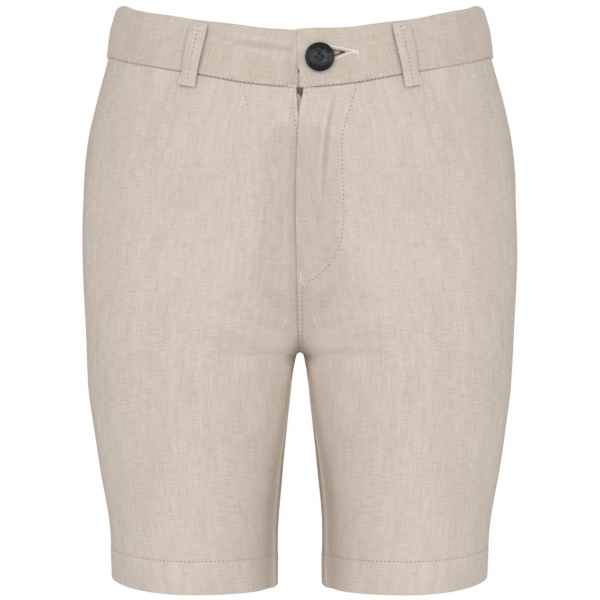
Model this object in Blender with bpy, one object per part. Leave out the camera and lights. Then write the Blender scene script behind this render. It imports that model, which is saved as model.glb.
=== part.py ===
"""Bermuda shorts in linen, filled out as they are when worn, with nobody in them.

The front faces -Y, the wearer's left is +X and +Z is up. The origin is on the centre line at the
height of the side waist seams, where the wearer holds the garment up. Sizes are in millimetres, and
MM turns them into Blender's metres when a mesh is placed.

One half of the body is drawn first: a level is a ring of cloth round the body or, below the crotch,
round one leg. Every cloth piece is a stretch of such levels, and the other half mirrors it.
"""

import math
from collections import namedtuple

import bmesh
import bpy
import numpy as np

MM = 0.001

CLOTH = 1.5
SEAM_GAP = 0.3
HALF_GAP = SEAM_GAP / 2

# The body by height. half_width is the outer side, front and back are the torso's depths and fullness is
# how square its ring is, with 2 an ellipse. inner is the gap from the centre line to the inside leg,
# thigh_front and thigh_back are one leg's depths, and merge is 0 where the ring is all torso and 1 where
# it is all leg.
Level = namedtuple("Level", "height half_width front back fullness inner thigh_front thigh_back merge")
BODY = [
    Level(55, 150.0, 94.0, 92.0, 2.08, 0.0, 92.0, 96.0, 0.00),
    Level(35, 156.3, 95.0, 94.5, 2.08, 0.0, 92.5, 97.0, 0.00),
    Level(20, 160.2, 96.5, 97.0, 2.08, 0.0, 93.0, 98.0, 0.00),
    Level(0, 163.0, 98.5, 101.0, 2.1, 0.0, 93.5, 99.0, 0.00),
    Level(-40, 171.0, 102.5, 108.5, 2.12, 0.0, 94.0, 101.0, 0.00),
    Level(-80, 178.6, 104.5, 114.0, 2.16, 0.0, 94.4, 102.5, 0.00),
    Level(-120, 183.0, 105.2, 117.0, 2.22, 0.0, 94.8, 103.5, 0.00),
    Level(-160, 183.9, 104.8, 117.0, 2.3, 0.0, 95.0, 104.0, 0.02),
    Level(-190, 183.2, 103.8, 115.5, 2.37, 0.0, 95.0, 104.0, 0.15),
    Level(-212, 182.2, 102.6, 113.0, 2.43, 0.0, 94.8, 103.6, 0.40),
    Level(-232, 181.3, 101.4, 110.8, 2.48, 0.0, 94.4, 103.0, 0.74),
    Level(-246, 180.7, 100.8, 109.6, 2.5, 0.5, 94.0, 102.4, 0.96),
    Level(-254, 180.3, 100.4, 109.0, 2.5, 4.0, 93.7, 102.0, 1.00),
    Level(-265, 179.8, 99.8, 108.2, 2.5, 6.1, 93.2, 101.4, 1.00),
    Level(-280, 178.9, 99.0, 107.0, 2.5, 7.8, 92.5, 100.4, 1.00),
    Level(-310, 174.8, 97.0, 104.5, 2.5, 10.8, 90.7, 98.0, 1.00),
    Level(-350, 169.0, 95.0, 101.0, 2.5, 14.8, 88.0, 94.6, 1.00),
    Level(-400, 160.8, 93.0, 98.0, 2.5, 18.8, 84.8, 90.0, 1.00),
    Level(-450, 157.9, 91.0, 95.0, 2.5, 19.3, 82.4, 86.2, 1.00),
]
LEG_FULLNESS = 2.06

# The waistband's lower and upper edges, by degrees round the body from the centre front.
Waist = namedtuple("Waist", "around seam top")
WAIST = [
    Waist(0, -35.0, 12.5),
    Waist(12, -31.8, 14.6),
    Waist(30, -22.4, 21.4),
    Waist(45, -15.2, 28.0),
    Waist(60, -8.8, 35.0),
    Waist(72, -3.8, 39.6),
    Waist(90, -1.2, 38.4),
    Waist(130, -7.0, 33.6),
    Waist(180, -13.0, 30.0),
]
WAIST_READ_HEIGHT = -20.0
BELOW_WAIST = -150
# Above the crotch the lines round the body fan out from it, over this height. They climb between two
# turns, in degrees from the inside leg.
CROTCH_FAN = 72
FAN_START = 40
FAN_END = 110
# The hem, by degrees round one leg from the inside leg, by way of the front.
Hem = namedtuple("Hem", "around height")
HEM = [Hem(0, -443.5), Hem(90, -446.0), Hem(180, -440.0), Hem(270, -445.0), Hem(360, -443.5)]
ABOVE_HEM = -300
HEM_LEVEL = -446

SIDE_SEAM_DEPTH = 8.0

# The two fronts' edges at the fly, in X. The left front laps over the right one, which is pressed
# inwards there by lap. Below the fly they meet in the front seam.
Fly = namedtuple("Fly", "height left_edge right_edge lap")
FLY = [
    Fly(-20, 2.9, -3.1, 0.0),
    Fly(-38, 2.4, -2.9, 0.0),
    Fly(-47, 0.3, -2.2, 1.2),
    Fly(-52, -0.6, -1.6, 1.8),
    Fly(-58, -0.8, 0.2, 1.8),
    Fly(-70, -2.0, 1.5, 1.8),
    Fly(-105, -3.2, 1.5, 1.8),
    Fly(-140, -3.6, 1.5, 1.8),
    Fly(-178, -2.8, 1.5, 1.8),
    Fly(-196, -2.6, -2.9, 1.8),
    Fly(-206, -2.3, -2.6, 0.0),
    Fly(-236, -0.7, -1.0, 0.0),
    Fly(-246, 0.15, -0.15, 0.0),
    Fly(-460, 0.15, -0.15, 0.0),
]
LAP_FLAT = 4.5
LAP_REACH = 12.0

POCKET_INSET = 29.0
POCKET_BOTTOM = -118.0
POCKET_GAPE = 3.0
GAPE_REACH = 42.0

BAND_PROUD = 0.8
BAND_THICK = 2.6
BAND_LAP_EDGE = -2.8
BAND_UNDERLAP = 33.0
# The underlap bends inwards between these two places, counted from the centre front.
BAND_BEND_START = 13.8
BAND_BEND_END = 3.8

BUTTON_RISE = 23.3
BUTTON_FROM_CENTRE = 15.8


HALVINGS = 40
BEYOND_CLOTH = 600.0


def curve(places, values):
    """A smooth reading of a short table, with no overshoot between its rows."""
    order = np.argsort(places)
    xs = np.array(places, float)[order]
    ys = np.array(values, float)[order]
    steps = np.diff(xs)
    slopes = np.diff(ys) / steps
    tangents = np.zeros(len(xs))
    before, after = slopes[:-1], slopes[1:]
    same_way = before * after > 0
    total = np.where(same_way, before + after, 1.0)
    tangents[1:-1] = np.where(same_way, 2 * before * after / total, 0.0)
    tangents[0], tangents[-1] = slopes[0], slopes[-1]

    def read(at):
        at = np.clip(at, xs[0], xs[-1])
        cell = np.clip(np.searchsorted(xs, at) - 1, 0, len(xs) - 2)
        step = steps[cell]
        part = (at - xs[cell]) / step
        rest = 1 - part
        ends = ys[cell] * (1 + 2 * part) * rest**2 + ys[cell + 1] * (3 - 2 * part) * part**2
        leans = tangents[cell] * part * rest**2 - tangents[cell + 1] * rest * part**2
        return ends + leans * step

    return read


def table_curve(table, place, value):
    return curve([getattr(row, place) for row in table], [getattr(row, value) for row in table])


body = {name: table_curve(BODY, "height", name) for name in Level._fields[1:]}
fly = {name: table_curve(FLY, "height", name) for name in Fly._fields[1:]}
waist_seam = table_curve(WAIST, "around", "seam")
waist_top = table_curve(WAIST, "around", "top")
hem_height = table_curve(HEM, "around", "height")


def ease(part):
    """0 below 0, 1 above 1, and a smooth step between."""
    part = np.clip(part, 0.0, 1.0)
    return part * part * (3 - 2 * part)


def torso_reach(centre, across, along, height):
    """How far the torso's ring lies from the leg's centre, in the direction (across, along)."""
    depth = np.where(along < 0, body["front"](height), body["back"](height))
    width = body["half_width"](height)
    power = body["fullness"](height)
    near = np.zeros_like(across)
    far = np.full_like(across, BEYOND_CLOTH)
    for _ in range(HALVINGS):
        middle = (near + far) / 2
        inside = (
            np.abs((centre + middle * across) / width) ** power
            + np.abs(middle * along / depth) ** power
        ) < 1
        near = np.where(inside, middle, near)
        far = np.where(inside, far, middle)
    return near


def leg_reach(radius, across, along, height):
    depth = np.where(along < 0, body["thigh_front"](height), body["thigh_back"](height))
    return (
        np.abs(across / radius) ** LEG_FULLNESS + np.abs(along / depth) ** LEG_FULLNESS
    ) ** (-1 / LEG_FULLNESS)


def cloth_point(turn, height):
    """A point of the left half's outer surface. turn runs from the inside leg by way of the front."""
    turn, height = np.broadcast_arrays(np.asarray(turn, float), np.asarray(height, float))
    width, inner = body["half_width"](height), body["inner"](height)
    centre, radius = (width + inner) / 2, (width - inner) / 2
    across, along = -np.cos(turn), -np.sin(turn)
    merge = body["merge"](height)
    reach = (1 - merge) * torso_reach(centre, across, along, height)
    reach = reach + merge * leg_reach(radius, across, along, height)
    return np.stack([centre + reach * across, reach * along, height], axis=-1)


def cloth_normal(turn, height):
    round_it = cloth_point(turn + 0.002, height) - cloth_point(turn - 0.002, height)
    up_it = cloth_point(turn, height + 0.5) - cloth_point(turn, height - 0.5)
    normal = np.cross(round_it, up_it)
    return normal / np.linalg.norm(normal, axis=-1, keepdims=True)


def degrees_round_body(points):
    """Degrees from the centre front, the way that the WAIST table counts them."""
    depth = np.where(points[..., 1] < 0, body["front"](points[..., 2]), body["back"](points[..., 2]))
    width = body["half_width"](points[..., 2])
    return np.degrees(np.arctan2(np.abs(points[..., 0]) / width, -points[..., 1] / depth))


def crotch_height():
    low, high = -262.0, -230.0
    for _ in range(HALVINGS):
        middle = (low + high) / 2
        if cloth_point(0.0, middle)[0] > 0:
            low = middle
        else:
            high = middle
    return low


CROTCH = crotch_height()


class Ring:
    """The left half's cloth along one line round it, from the centre front or the inside leg.

    heights gives the line's height at each turn. along is the length from the start, side is where
    the side seam lies and length is where the line ends, at the centre back or the inside leg.
    """

    SAMPLES = 721

    def __init__(self, heights, is_leg):
        turns = np.linspace(0, 2 * math.pi, self.SAMPLES)
        if not is_leg:
            across = cloth_point(turns, heights(turns))[:, 0]
            outside = np.nonzero(across > 0)[0]
            first, last = outside[0], outside[-1]
            start = np.interp(0, across[first - 1 : first + 1], turns[first - 1 : first + 1])
            end = np.interp(0, -across[last : last + 2], turns[last : last + 2])
            turns = np.linspace(start, end, self.SAMPLES)
        height = heights(turns)
        self.points = cloth_point(turns, height)
        self.normals = cloth_normal(turns, height)
        steps = np.linalg.norm(np.diff(self.points, axis=0), axis=1)
        self.along = np.concatenate([[0.0], np.cumsum(steps)])
        self.length = self.along[-1]
        outer = (turns > math.pi / 2) & (turns < 3 * math.pi / 2)
        self.side = np.interp(SIDE_SEAM_DEPTH, self.points[outer, 1], self.along[outer])

    def read(self, places):
        """Points and normals at these lengths. Past either end the other half goes on as a mirror image."""
        places = np.asarray(places, float)
        folded = np.where(places < 0, -places, places)
        folded = np.where(folded > self.length, 2 * self.length - folded, folded)
        points = np.stack([np.interp(folded, self.along, self.points[:, k]) for k in range(3)], -1)
        normals = np.stack([np.interp(folded, self.along, self.normals[:, k]) for k in range(3)], -1)
        past = (places < 0) | (places > self.length)
        sign = np.where(past, -1.0, 1.0)
        points[..., 0] *= sign
        normals[..., 0] *= sign
        return points, normals / np.linalg.norm(normals, axis=-1, keepdims=True)

    def place_of_x(self, x):
        """The length at which the front stretch passes this X, negative past the centre line."""
        front = self.points[:, 1] < 0
        return math.copysign(np.interp(abs(x), self.points[front, 0], self.along[front]), x)


def panel_ring(level):
    """The ring of a panel whose height at the centre seams is level.

    It follows the waist seam above and the hem below, and near the crotch its sides lie higher than its
    ends, so that the rings divide the curved crotch seam evenly.
    """

    def heights(turns):
        if CROTCH < level < CROTCH + CROTCH_FAN:
            side = CROTCH + math.sqrt(CROTCH_FAN * (level - CROTCH))
            from_inside = np.degrees(np.minimum(turns, 2 * math.pi - turns))
            return level + (side - level) * ease((from_inside - FAN_START) / (FAN_END - FAN_START))
        if level > BELOW_WAIST:
            share = level / BELOW_WAIST
            around = degrees_round_body(cloth_point(turns, WAIST_READ_HEIGHT))
            return (1 - share) * (waist_seam(around) - HALF_GAP) + share * BELOW_WAIST
        if level < ABOVE_HEM:
            share = (ABOVE_HEM - level) / (ABOVE_HEM - HEM_LEVEL)
            return ABOVE_HEM + share * (hem_height(np.degrees(turns)) - ABOVE_HEM)
        return np.full_like(turns, level)

    return Ring(heights, level <= CROTCH)


def band_ring(share):
    """A ring of the waistband, from its lower edge at 0 to its upper edge at 1."""

    def heights(turns):
        around = degrees_round_body(cloth_point(turns, WAIST_READ_HEIGHT))
        low = waist_seam(around) + HALF_GAP
        return low + share * (waist_top(around) - low)

    return Ring(heights, False)


def face_outwards(shape):
    bmesh.ops.recalc_face_normals(shape, faces=shape.faces)
    if shape.calc_volume(signed=True) < 0:
        bmesh.ops.reverse_faces(shape, faces=shape.faces)


def new_object(name, shape, material):
    mesh = bpy.data.meshes.new(name)
    shape.to_mesh(mesh)
    shape.free()
    mesh.materials.append(material)
    made = bpy.data.objects.new(name, mesh)
    bpy.context.scene.collection.objects.link(made)
    return made


def cloth_wall(name, outer, inner, material, mirrored=False):
    """A closed wall between two grids of points, rows by columns."""
    rows, columns = outer.shape[:2]
    shape = bmesh.new()
    bmesh.ops.create_grid(shape, x_segments=columns - 1, y_segments=rows - 1, size=1)
    row_of = shape.verts.layers.int.new("row")
    column_of = shape.verts.layers.int.new("column")
    for vert in shape.verts:
        vert[row_of] = round((1 - vert.co.y) / 2 * (rows - 1))
        vert[column_of] = round((1 + vert.co.x) / 2 * (columns - 1))
    grown = bmesh.ops.extrude_face_region(shape, geom=shape.faces[:], use_keep_orig=True)
    lining = {item for item in grown["geom"] if isinstance(item, bmesh.types.BMVert)}
    flip = np.array([-1.0 if mirrored else 1.0, 1.0, 1.0])
    for vert in shape.verts:
        side = inner if vert in lining else outer
        vert.co = side[vert[row_of], vert[column_of]] * flip * MM
    face_outwards(shape)
    made = new_object(name, shape, material)
    made.data.shade_smooth()
    made.data.set_sharp_from_angle(angle=math.radians(40))
    return made


def wall_points(rings, places, lifts, thick, edge=None):
    """Outer and inner grids along the rings. lifts raises the wall, and edge keeps X at or above a value."""
    outer, inner = [], []
    for ring, place, lift in zip(rings, places, lifts):
        points, normals = ring.read(place)
        lift = np.broadcast_to(np.asarray(lift, float), place.shape)[..., None]
        outer.append(points + normals * lift)
        inner.append(points + normals * (lift - thick))
    outer, inner = np.array(outer), np.array(inner)
    if edge is not None:
        for side in (outer, inner):
            side[..., 0] = np.maximum(side[..., 0], edge(side[..., 2]))
    return outer, inner


def spread(start, end, shares):
    return start + (end - start) * np.asarray(shares)


# ---- materials ----


def material(name, colour, roughness, metallic=0.0):
    made = bpy.data.materials.new(name)
    made.use_nodes = True
    shader = made.node_tree.nodes["Principled BSDF"]
    shader.inputs["Base Color"].default_value = (*colour, 1.0)
    shader.inputs["Roughness"].default_value = roughness
    shader.inputs["Metallic"].default_value = metallic
    return made


def clear_scene():
    for old in list(bpy.data.objects):
        bpy.data.objects.remove(old, do_unlink=True)


clear_scene()
linen = material("linen", (0.63, 0.56, 0.49), 0.9)
band_linen = material("band_linen", (0.58, 0.51, 0.44), 0.9)
tape = material("tape", (0.55, 0.49, 0.45), 0.9)
gunmetal = material("gunmetal", (0.13, 0.13, 0.14), 0.35, 1.0)
horn = material("horn", (0.04, 0.045, 0.055), 0.2)

# ---- fronts ----

PANEL_LEVELS = (
    [0, -14, -33, -52, -85, -118, -150, -170, -186, -196, -206, -219, -232]
    + [CROTCH + rise for rise in (9.0, 2.5, 0.0, -3.0, -11.0)]
    + [-280, -310, -350, -400, -425, HEM_LEVEL]
)
# The first columns of a front are lengths from its edge, for the lap. The others are shares, and they
# stand closer together where the cloth turns round the side.
FRONT_LAP_COLUMNS = (0, 6.0, 9.5, 13.5)
FRONT_SHARES = (0.1, 0.18, 0.28, 0.4, 0.52, 0.63, 0.72, 0.79, 0.85, 0.9, 0.95, 1)
BACK_SHARES = (0, 0.04, 0.08, 0.13, 0.19, 0.27, 0.37, 0.48, 0.6, 0.72, 0.83, 0.92, 1)

panel_rings = [panel_ring(level) for level in PANEL_LEVELS]


def pocket_share(height):
    """0 at the pocket's lower end and below it, 1 at the waist seam."""
    return np.clip((height - POCKET_BOTTOM) / -POCKET_BOTTOM, 0.0, 1.0)


def pocket_edge(ring):
    """How far along the ring the front panel ends: at the side seam, or at the slanted pocket edge."""
    height = ring.read(ring.side)[0][2]
    return ring.side - HALF_GAP - POCKET_INSET * pocket_share(height)


def pocket_gape(ring, places):
    """How far the pocket's edge stands off, most at its middle."""
    share = pocket_share(ring.read(ring.side)[0][2])
    near = ease(1 - (ring.side - places) / GAPE_REACH)
    return POCKET_GAPE * np.sin(math.pi * share) ** 0.8 * near if 0 < share < 1 else 0.0 * places


def front_places(ring, start_x):
    start = ring.place_of_x(start_x) if ring.points[0, 2] > CROTCH else HALF_GAP
    return np.concatenate(
        [start + np.array(FRONT_LAP_COLUMNS), spread(start, pocket_edge(ring), FRONT_SHARES)]
    )


def front_panel(name, edge_column, is_right):
    sign = -1 if is_right else 1

    def edge(height):
        return sign * fly[edge_column](height)

    places, lifts = [], []
    for ring in panel_rings:
        height = ring.points[0, 2]
        place = front_places(ring, float(edge(height)))
        lift = pocket_gape(ring, place)
        if is_right:
            lift = lift - fly["lap"](height) * (1 - ease((place - LAP_FLAT) / (LAP_REACH - LAP_FLAT)))
        places.append(place)
        lifts.append(lift)
    outer, inner = wall_points(panel_rings, places, lifts, CLOTH, edge)
    return cloth_wall(name, outer, inner, linen, mirrored=is_right)


front_panel("front_left", "left_edge", is_right=False)
front_panel("front_right", "right_edge", is_right=True)

# ---- backs ----


def back_panel(name, is_right):
    places = [
        spread(ring.side + HALF_GAP, ring.length - HALF_GAP, BACK_SHARES) for ring in panel_rings
    ]
    outer, inner = wall_points(panel_rings, places, [0.0] * len(places), CLOTH, lambda z: HALF_GAP + 0 * z)
    return cloth_wall(name, outer, inner, linen, mirrored=is_right)


back_panel("back_left", is_right=False)
back_panel("back_right", is_right=True)

# ---- pocket facings ----

FACING_UNDER = 24.0
FACING_THICK = 1.2
FACING_SHARES = (0, 0.25, 0.45, 0.63, 0.8, 1)
UNDER_CLOTH = -(CLOTH + SEAM_GAP)


class Backing:
    """A ring read along the straight facets of the front panel that a piece lies behind."""

    def __init__(self, ring):
        self.knots = np.append(front_places(ring, 0.0), ring.side)
        self.points, self.normals = ring.read(self.knots)

    def read(self, places):
        folded = np.abs(places)
        points = np.stack([np.interp(folded, self.knots, self.points[:, k]) for k in range(3)], -1)
        normals = np.stack([np.interp(folded, self.knots, self.normals[:, k]) for k in range(3)], -1)
        sign = np.where(np.asarray(places) < 0, -1.0, 1.0)
        points[..., 0] *= sign
        normals[..., 0] *= sign
        return points, normals


def pocket_facing(name, is_right):
    rings = [ring for ring in panel_rings if ring.read(ring.side)[0][2] > BELOW_WAIST - 1]
    places = [
        spread(pocket_edge(ring) - FACING_UNDER, ring.side - HALF_GAP, FACING_SHARES) for ring in rings
    ]
    backings = [Backing(ring) for ring in rings]
    outer, inner = wall_points(backings, places, [UNDER_CLOTH] * len(rings), FACING_THICK)
    return cloth_wall(name, outer, inner, linen, mirrored=is_right)


pocket_facing("pocket_facing_left", is_right=False)
pocket_facing("pocket_facing_right", is_right=True)

# ---- waistband ----

BAND_SHARES_UP = (0, 0.35, 0.7, 1)
LEFT_BAND_PLACES = (BAND_LAP_EDGE, 4, 10, 17, 25, 34)
RIGHT_BAND_PLACES = (-BAND_UNDERLAP, -24, -15, -7, 0, 4, 7, 10, 14, 22, 34)
# The rest of each band, as shares of its half of the body, closer together round the side.
BAND_SHARES = (0.15, 0.22, 0.29, 0.35, 0.4, 0.44, 0.48, 0.52, 0.56, 0.6, 0.65, 0.71, 0.78, 0.86, 0.93)

band_rings = [band_ring(share) for share in BAND_SHARES_UP]


def band_places(ring, front_part):
    end = ring.length - HALF_GAP
    return np.concatenate([front_part, end * np.array(BAND_SHARES), [end]])


left_places = [band_places(ring, LEFT_BAND_PLACES) for ring in band_rings]
outer, inner = wall_points(band_rings, left_places, [BAND_PROUD] * len(band_rings), BAND_THICK)
cloth_wall("waistband_left", outer, inner, band_linen)


def right_band_lift(places):
    """The right end passes behind the left one, so it bends inwards before the lapped edge."""
    under = 1 - ease((places - BAND_BEND_END) / (BAND_BEND_START - BAND_BEND_END))
    return BAND_PROUD - (BAND_THICK + SEAM_GAP) * under


right_places = [band_places(ring, RIGHT_BAND_PLACES) for ring in band_rings]
right_lifts = [right_band_lift(places) for places in right_places]
outer, inner = wall_points(band_rings, right_places, right_lifts, BAND_THICK)
cloth_wall("waistband_right", outer, inner, band_linen, mirrored=True)

# ---- fly facing and zip ----

ZIP_LENGTH = 186.5
TAPE_LIFT = -3.6
TAPE_THICK = 1.0
TAPE_LEFT = 14.0
TAPE_RIGHT = -12.0
TAPE_SHARES = (0, 0.25, 0.5, 0.75, 1)
FACING_START = 2.6
FLY_FACING_SHARES = (0, 0.33, 0.67, 1)

# The fly facing's outer edge, in X, by height: straight down and then round to the zip.
Facing = namedtuple("Facing", "height edge")
FLY_FACING = [
    Facing(-30, 50),
    Facing(-60, 44),
    Facing(-90, 39),
    Facing(-150, 38),
    Facing(-170, 33),
    Facing(-186, 21),
    Facing(-196, 7),
]
facing_edge = table_curve(FLY_FACING, "height", "edge")

zip_rings = [Backing(ring) for ring in panel_rings if ring.points[0, 2] > -ZIP_LENGTH]
places = [spread(TAPE_RIGHT, TAPE_LEFT, TAPE_SHARES) for _ in zip_rings]
outer, inner = wall_points(zip_rings, places, [TAPE_LIFT] * len(zip_rings), TAPE_THICK)
cloth_wall("zip_tape", outer, inner, tape)

facing_rings = [ring for ring in panel_rings if ring.points[0, 2] > FLY_FACING[-1].height - 1]
places = [
    spread(FACING_START, float(facing_edge(ring.points[0, 2])), FLY_FACING_SHARES)
    for ring in facing_rings
]
backings = [Backing(ring) for ring in facing_rings]
outer, inner = wall_points(backings, places, [UNDER_CLOTH] * len(places), FACING_THICK)
cloth_wall("fly_facing", outer, inner, linen)

# The slider's body and its short pull, in X, in height and in lift from the cloth's surface.
Block = namedtuple("Block", "left right outward inward high low bevel")
SLIDER = Block(-1.6, 1.7, -0.5, TAPE_LIFT + SEAM_GAP, -35.5, -39.6, 0.5)
PULL = Block(0.5, 1.4, -1.6, -2.5, -37.5, -42.4, 0.2)


def block_mesh(block):
    """A box hung on the centre front, with its edges bevelled."""
    shape = bmesh.new()
    bmesh.ops.create_cube(shape, size=1)
    surface = -float(body["front"]((block.high + block.low) / 2))
    for vert in shape.verts:
        depth = surface - (block.outward if vert.co.y < 0 else block.inward)
        vert.co = (
            (block.left if vert.co.x < 0 else block.right) * MM,
            depth * MM,
            (block.low if vert.co.z < 0 else block.high) * MM,
        )
    edges = shape.edges[:]
    bmesh.ops.bevel(shape, geom=edges, offset=block.bevel * MM, segments=1, profile=0.5, affect="EDGES")
    return shape


slider = new_object("zip_slider", block_mesh(SLIDER), gunmetal)
pull = new_object("zip_pull_to_join", block_mesh(PULL), gunmetal)
pull.hide_render = True
pull.display_type = "WIRE"
join = slider.modifiers.new("pull", "BOOLEAN")
join.operation = "UNION"
join.object = pull

# ---- button ----

BUTTON_SIDES = 40
BUTTON_HOLE_SIDES = 12
BUTTON_HOLE_LENGTH = 12.0
BUTTON_HOLE_RADIUS = 1.1
BUTTON_HOLE_REACH = 2.55
BUTTON_TURN = math.radians(9)
BUTTON_STAND = 0.75

# The button's half section, radius by height from its back.
ButtonRim = namedtuple("ButtonRim", "radius rise")
BUTTON_SECTION = [
    ButtonRim(0.0, 0.0),
    ButtonRim(9.5, 0.0),
    ButtonRim(11.4, 0.9),
    ButtonRim(12.0, 1.9),
    ButtonRim(11.5, 2.8),
    ButtonRim(10.3, 3.0),
    ButtonRim(8.6, 2.5),
    ButtonRim(6.8, 1.9),
    ButtonRim(0.0, 1.7),
]


def button_frame():
    """The place and the turn of the button, on the lapped end of the waistband."""
    ring = band_ring(BUTTON_RISE / (WAIST[0].top - WAIST[0].seam))
    points, normals = ring.read(ring.place_of_x(BUTTON_FROM_CENTRE))
    points = points + normals * (BAND_PROUD + BUTTON_STAND)
    across = np.cross(normals, [0.0, 0.0, 1.0])
    return points, normals, -across / np.linalg.norm(across)


def button_mesh():
    shape = bmesh.new()
    verts = [shape.verts.new((rim.radius * MM, 0, rim.rise * MM)) for rim in BUTTON_SECTION]
    edges = [shape.edges.new(pair) for pair in zip(verts, verts[1:])]
    bmesh.ops.spin(
        shape,
        geom=verts + edges,
        cent=(0, 0, 0),
        axis=(0, 0, 1),
        angle=2 * math.pi,
        steps=BUTTON_SIDES,
        use_merge=True,
    )
    bmesh.ops.remove_doubles(shape, verts=shape.verts, dist=1e-5)
    return shape


def drill_mesh():
    shape = bmesh.new()
    for quarter in range(4):
        angle = BUTTON_TURN + quarter * math.pi / 2
        made = bmesh.ops.create_cone(
            shape,
            cap_ends=True,
            segments=BUTTON_HOLE_SIDES,
            radius1=BUTTON_HOLE_RADIUS * MM,
            radius2=BUTTON_HOLE_RADIUS * MM,
            depth=BUTTON_HOLE_LENGTH * MM,
        )
        shift = (BUTTON_HOLE_REACH * MM * math.cos(angle), BUTTON_HOLE_REACH * MM * math.sin(angle), 0)
        bmesh.ops.translate(shape, vec=shift, verts=made["verts"])
    return shape


def stand_on_band(shape):
    """Moves a shape made round the Z axis to the button's place, its face outwards."""
    place, normal, across = button_frame()
    upward = np.cross(normal, across)
    for vert in shape.verts:
        local = np.array(vert.co)
        vert.co = place * MM + across * local[0] + upward * local[1] + normal * local[2]
    face_outwards(shape)
    return shape


button = new_object("button", stand_on_band(button_mesh()), horn)
drill = new_object("button_holes_to_cut", stand_on_band(drill_mesh()), horn)
drill.hide_render = True
drill.display_type = "WIRE"
holes = button.modifiers.new("holes", "BOOLEAN")
holes.operation = "DIFFERENCE"
holes.object = drill

# ---- belt loops ----

LOOP_WIDTH = 15.0
LOOP_THICK = 1.4
LOOP_BOW = 2.2
LOOP_ROWS = 8
LOOP_ACROSS = (-0.5, 0.0, 0.5)
LOOP_UNDER_TOP = 0.6

# Where each loop's middle crosses the band's upper edge and where it ends below the seam, as lengths
# from the centre front, or as shares of the way round where that is under 1.
Loop = namedtuple("Loop", "name start end below mirrored")
LOOPS = [
    Loop("belt_loop_front_left", 81.0, 94.1, 11.3, False),
    Loop("belt_loop_front_right", 81.0, 94.1, 11.3, True),
    Loop("belt_loop_side_left", 0.72, 0.72, 6.0, False),
    Loop("belt_loop_side_right", 0.72, 0.72, 6.0, True),
    Loop("belt_loop_centre_back", 1.0, 1.0, 6.0, False),
]


def loop_ring(share, below):
    """The ring that a loop's row follows: 0 at the band's upper edge, 1 at below under the seam."""

    def heights(turns):
        around = degrees_round_body(cloth_point(turns, WAIST_READ_HEIGHT))
        top = waist_top(around) - LOOP_UNDER_TOP
        return top + share * (waist_seam(around) - below - top)

    return Ring(heights, False)


def belt_loop(loop):
    rings, places, lifts = [], [], []
    for row in range(LOOP_ROWS + 1):
        share = row / LOOP_ROWS
        ring = loop_ring(share, loop.below)
        scale = ring.length if loop.start <= 1 else 1.0
        middle = scale * (loop.start + share * (loop.end - loop.start))
        rings.append(ring)
        places.append(middle + LOOP_WIDTH * np.array(LOOP_ACROSS))
        lifts.append(BAND_PROUD + SEAM_GAP + LOOP_THICK + LOOP_BOW * math.sin(math.pi * share))
    outer, inner = wall_points(rings, places, lifts, LOOP_THICK)
    return cloth_wall(loop.name, outer, inner, band_linen, mirrored=loop.mirrored)


for loop in LOOPS:
    belt_loop(loop)
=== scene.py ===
"""The looks of a pair of linen bermuda shorts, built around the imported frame.

The shorts hang as they are worn, with nobody in them. The front faces -Y, the wearer's left is +X and
+Z is up. Lengths are in millimetres, and MM turns them into Blender's metres when a mesh is placed.
The sections follow the order of sewing: fronts, backs, pockets, fly, waistband, belt loops, button.
"""

import math
from collections import namedtuple

import bmesh
import bpy
import numpy as np
from mathutils import Matrix, Vector


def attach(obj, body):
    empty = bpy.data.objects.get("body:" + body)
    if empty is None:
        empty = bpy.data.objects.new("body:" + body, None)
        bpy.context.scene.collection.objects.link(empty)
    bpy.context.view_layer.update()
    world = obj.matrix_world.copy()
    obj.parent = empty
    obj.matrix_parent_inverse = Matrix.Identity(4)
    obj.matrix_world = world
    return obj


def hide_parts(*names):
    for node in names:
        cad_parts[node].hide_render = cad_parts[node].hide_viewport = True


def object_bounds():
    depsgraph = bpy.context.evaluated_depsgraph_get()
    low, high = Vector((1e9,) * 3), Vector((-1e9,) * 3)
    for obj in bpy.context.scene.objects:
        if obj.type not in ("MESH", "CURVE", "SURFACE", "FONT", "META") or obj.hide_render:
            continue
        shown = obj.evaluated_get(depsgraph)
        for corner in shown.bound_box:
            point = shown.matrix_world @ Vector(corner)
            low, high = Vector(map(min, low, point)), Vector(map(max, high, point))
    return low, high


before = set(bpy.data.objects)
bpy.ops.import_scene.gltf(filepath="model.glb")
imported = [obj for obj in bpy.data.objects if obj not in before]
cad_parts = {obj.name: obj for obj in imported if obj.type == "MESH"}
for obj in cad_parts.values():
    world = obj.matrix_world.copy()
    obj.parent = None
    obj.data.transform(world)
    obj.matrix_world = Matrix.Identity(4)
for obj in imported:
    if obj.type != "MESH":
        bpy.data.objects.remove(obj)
cad_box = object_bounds()
MM = 0.001

# ---- studio ----
# A garment shoot on white: a wide, pale floor below the hems, one large soft light in front and above,
# a weaker one on the other side, and a white surround. The camera is level with the middle of the
# shorts and two metres in front of them.

CAMERA_DISTANCE = 2.0
CAMERA_HEIGHT = -0.206
CAMERA_LENS = 141.4
FLOOR_DROP = 0.25
FLOOR_RADIUS = 1.75

scene = bpy.context.scene
scene.view_settings.view_transform = "Standard"

camera_data = bpy.data.cameras.new("studio_camera")
camera_data.lens = CAMERA_LENS
camera_data.sensor_width = 36.0
camera = bpy.data.objects.new("studio_camera", camera_data)
camera.location = (0.0, -CAMERA_DISTANCE, CAMERA_HEIGHT)
camera.rotation_euler = (math.radians(90), 0.0, 0.0)
scene.collection.objects.link(camera)
scene.camera = camera


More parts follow.
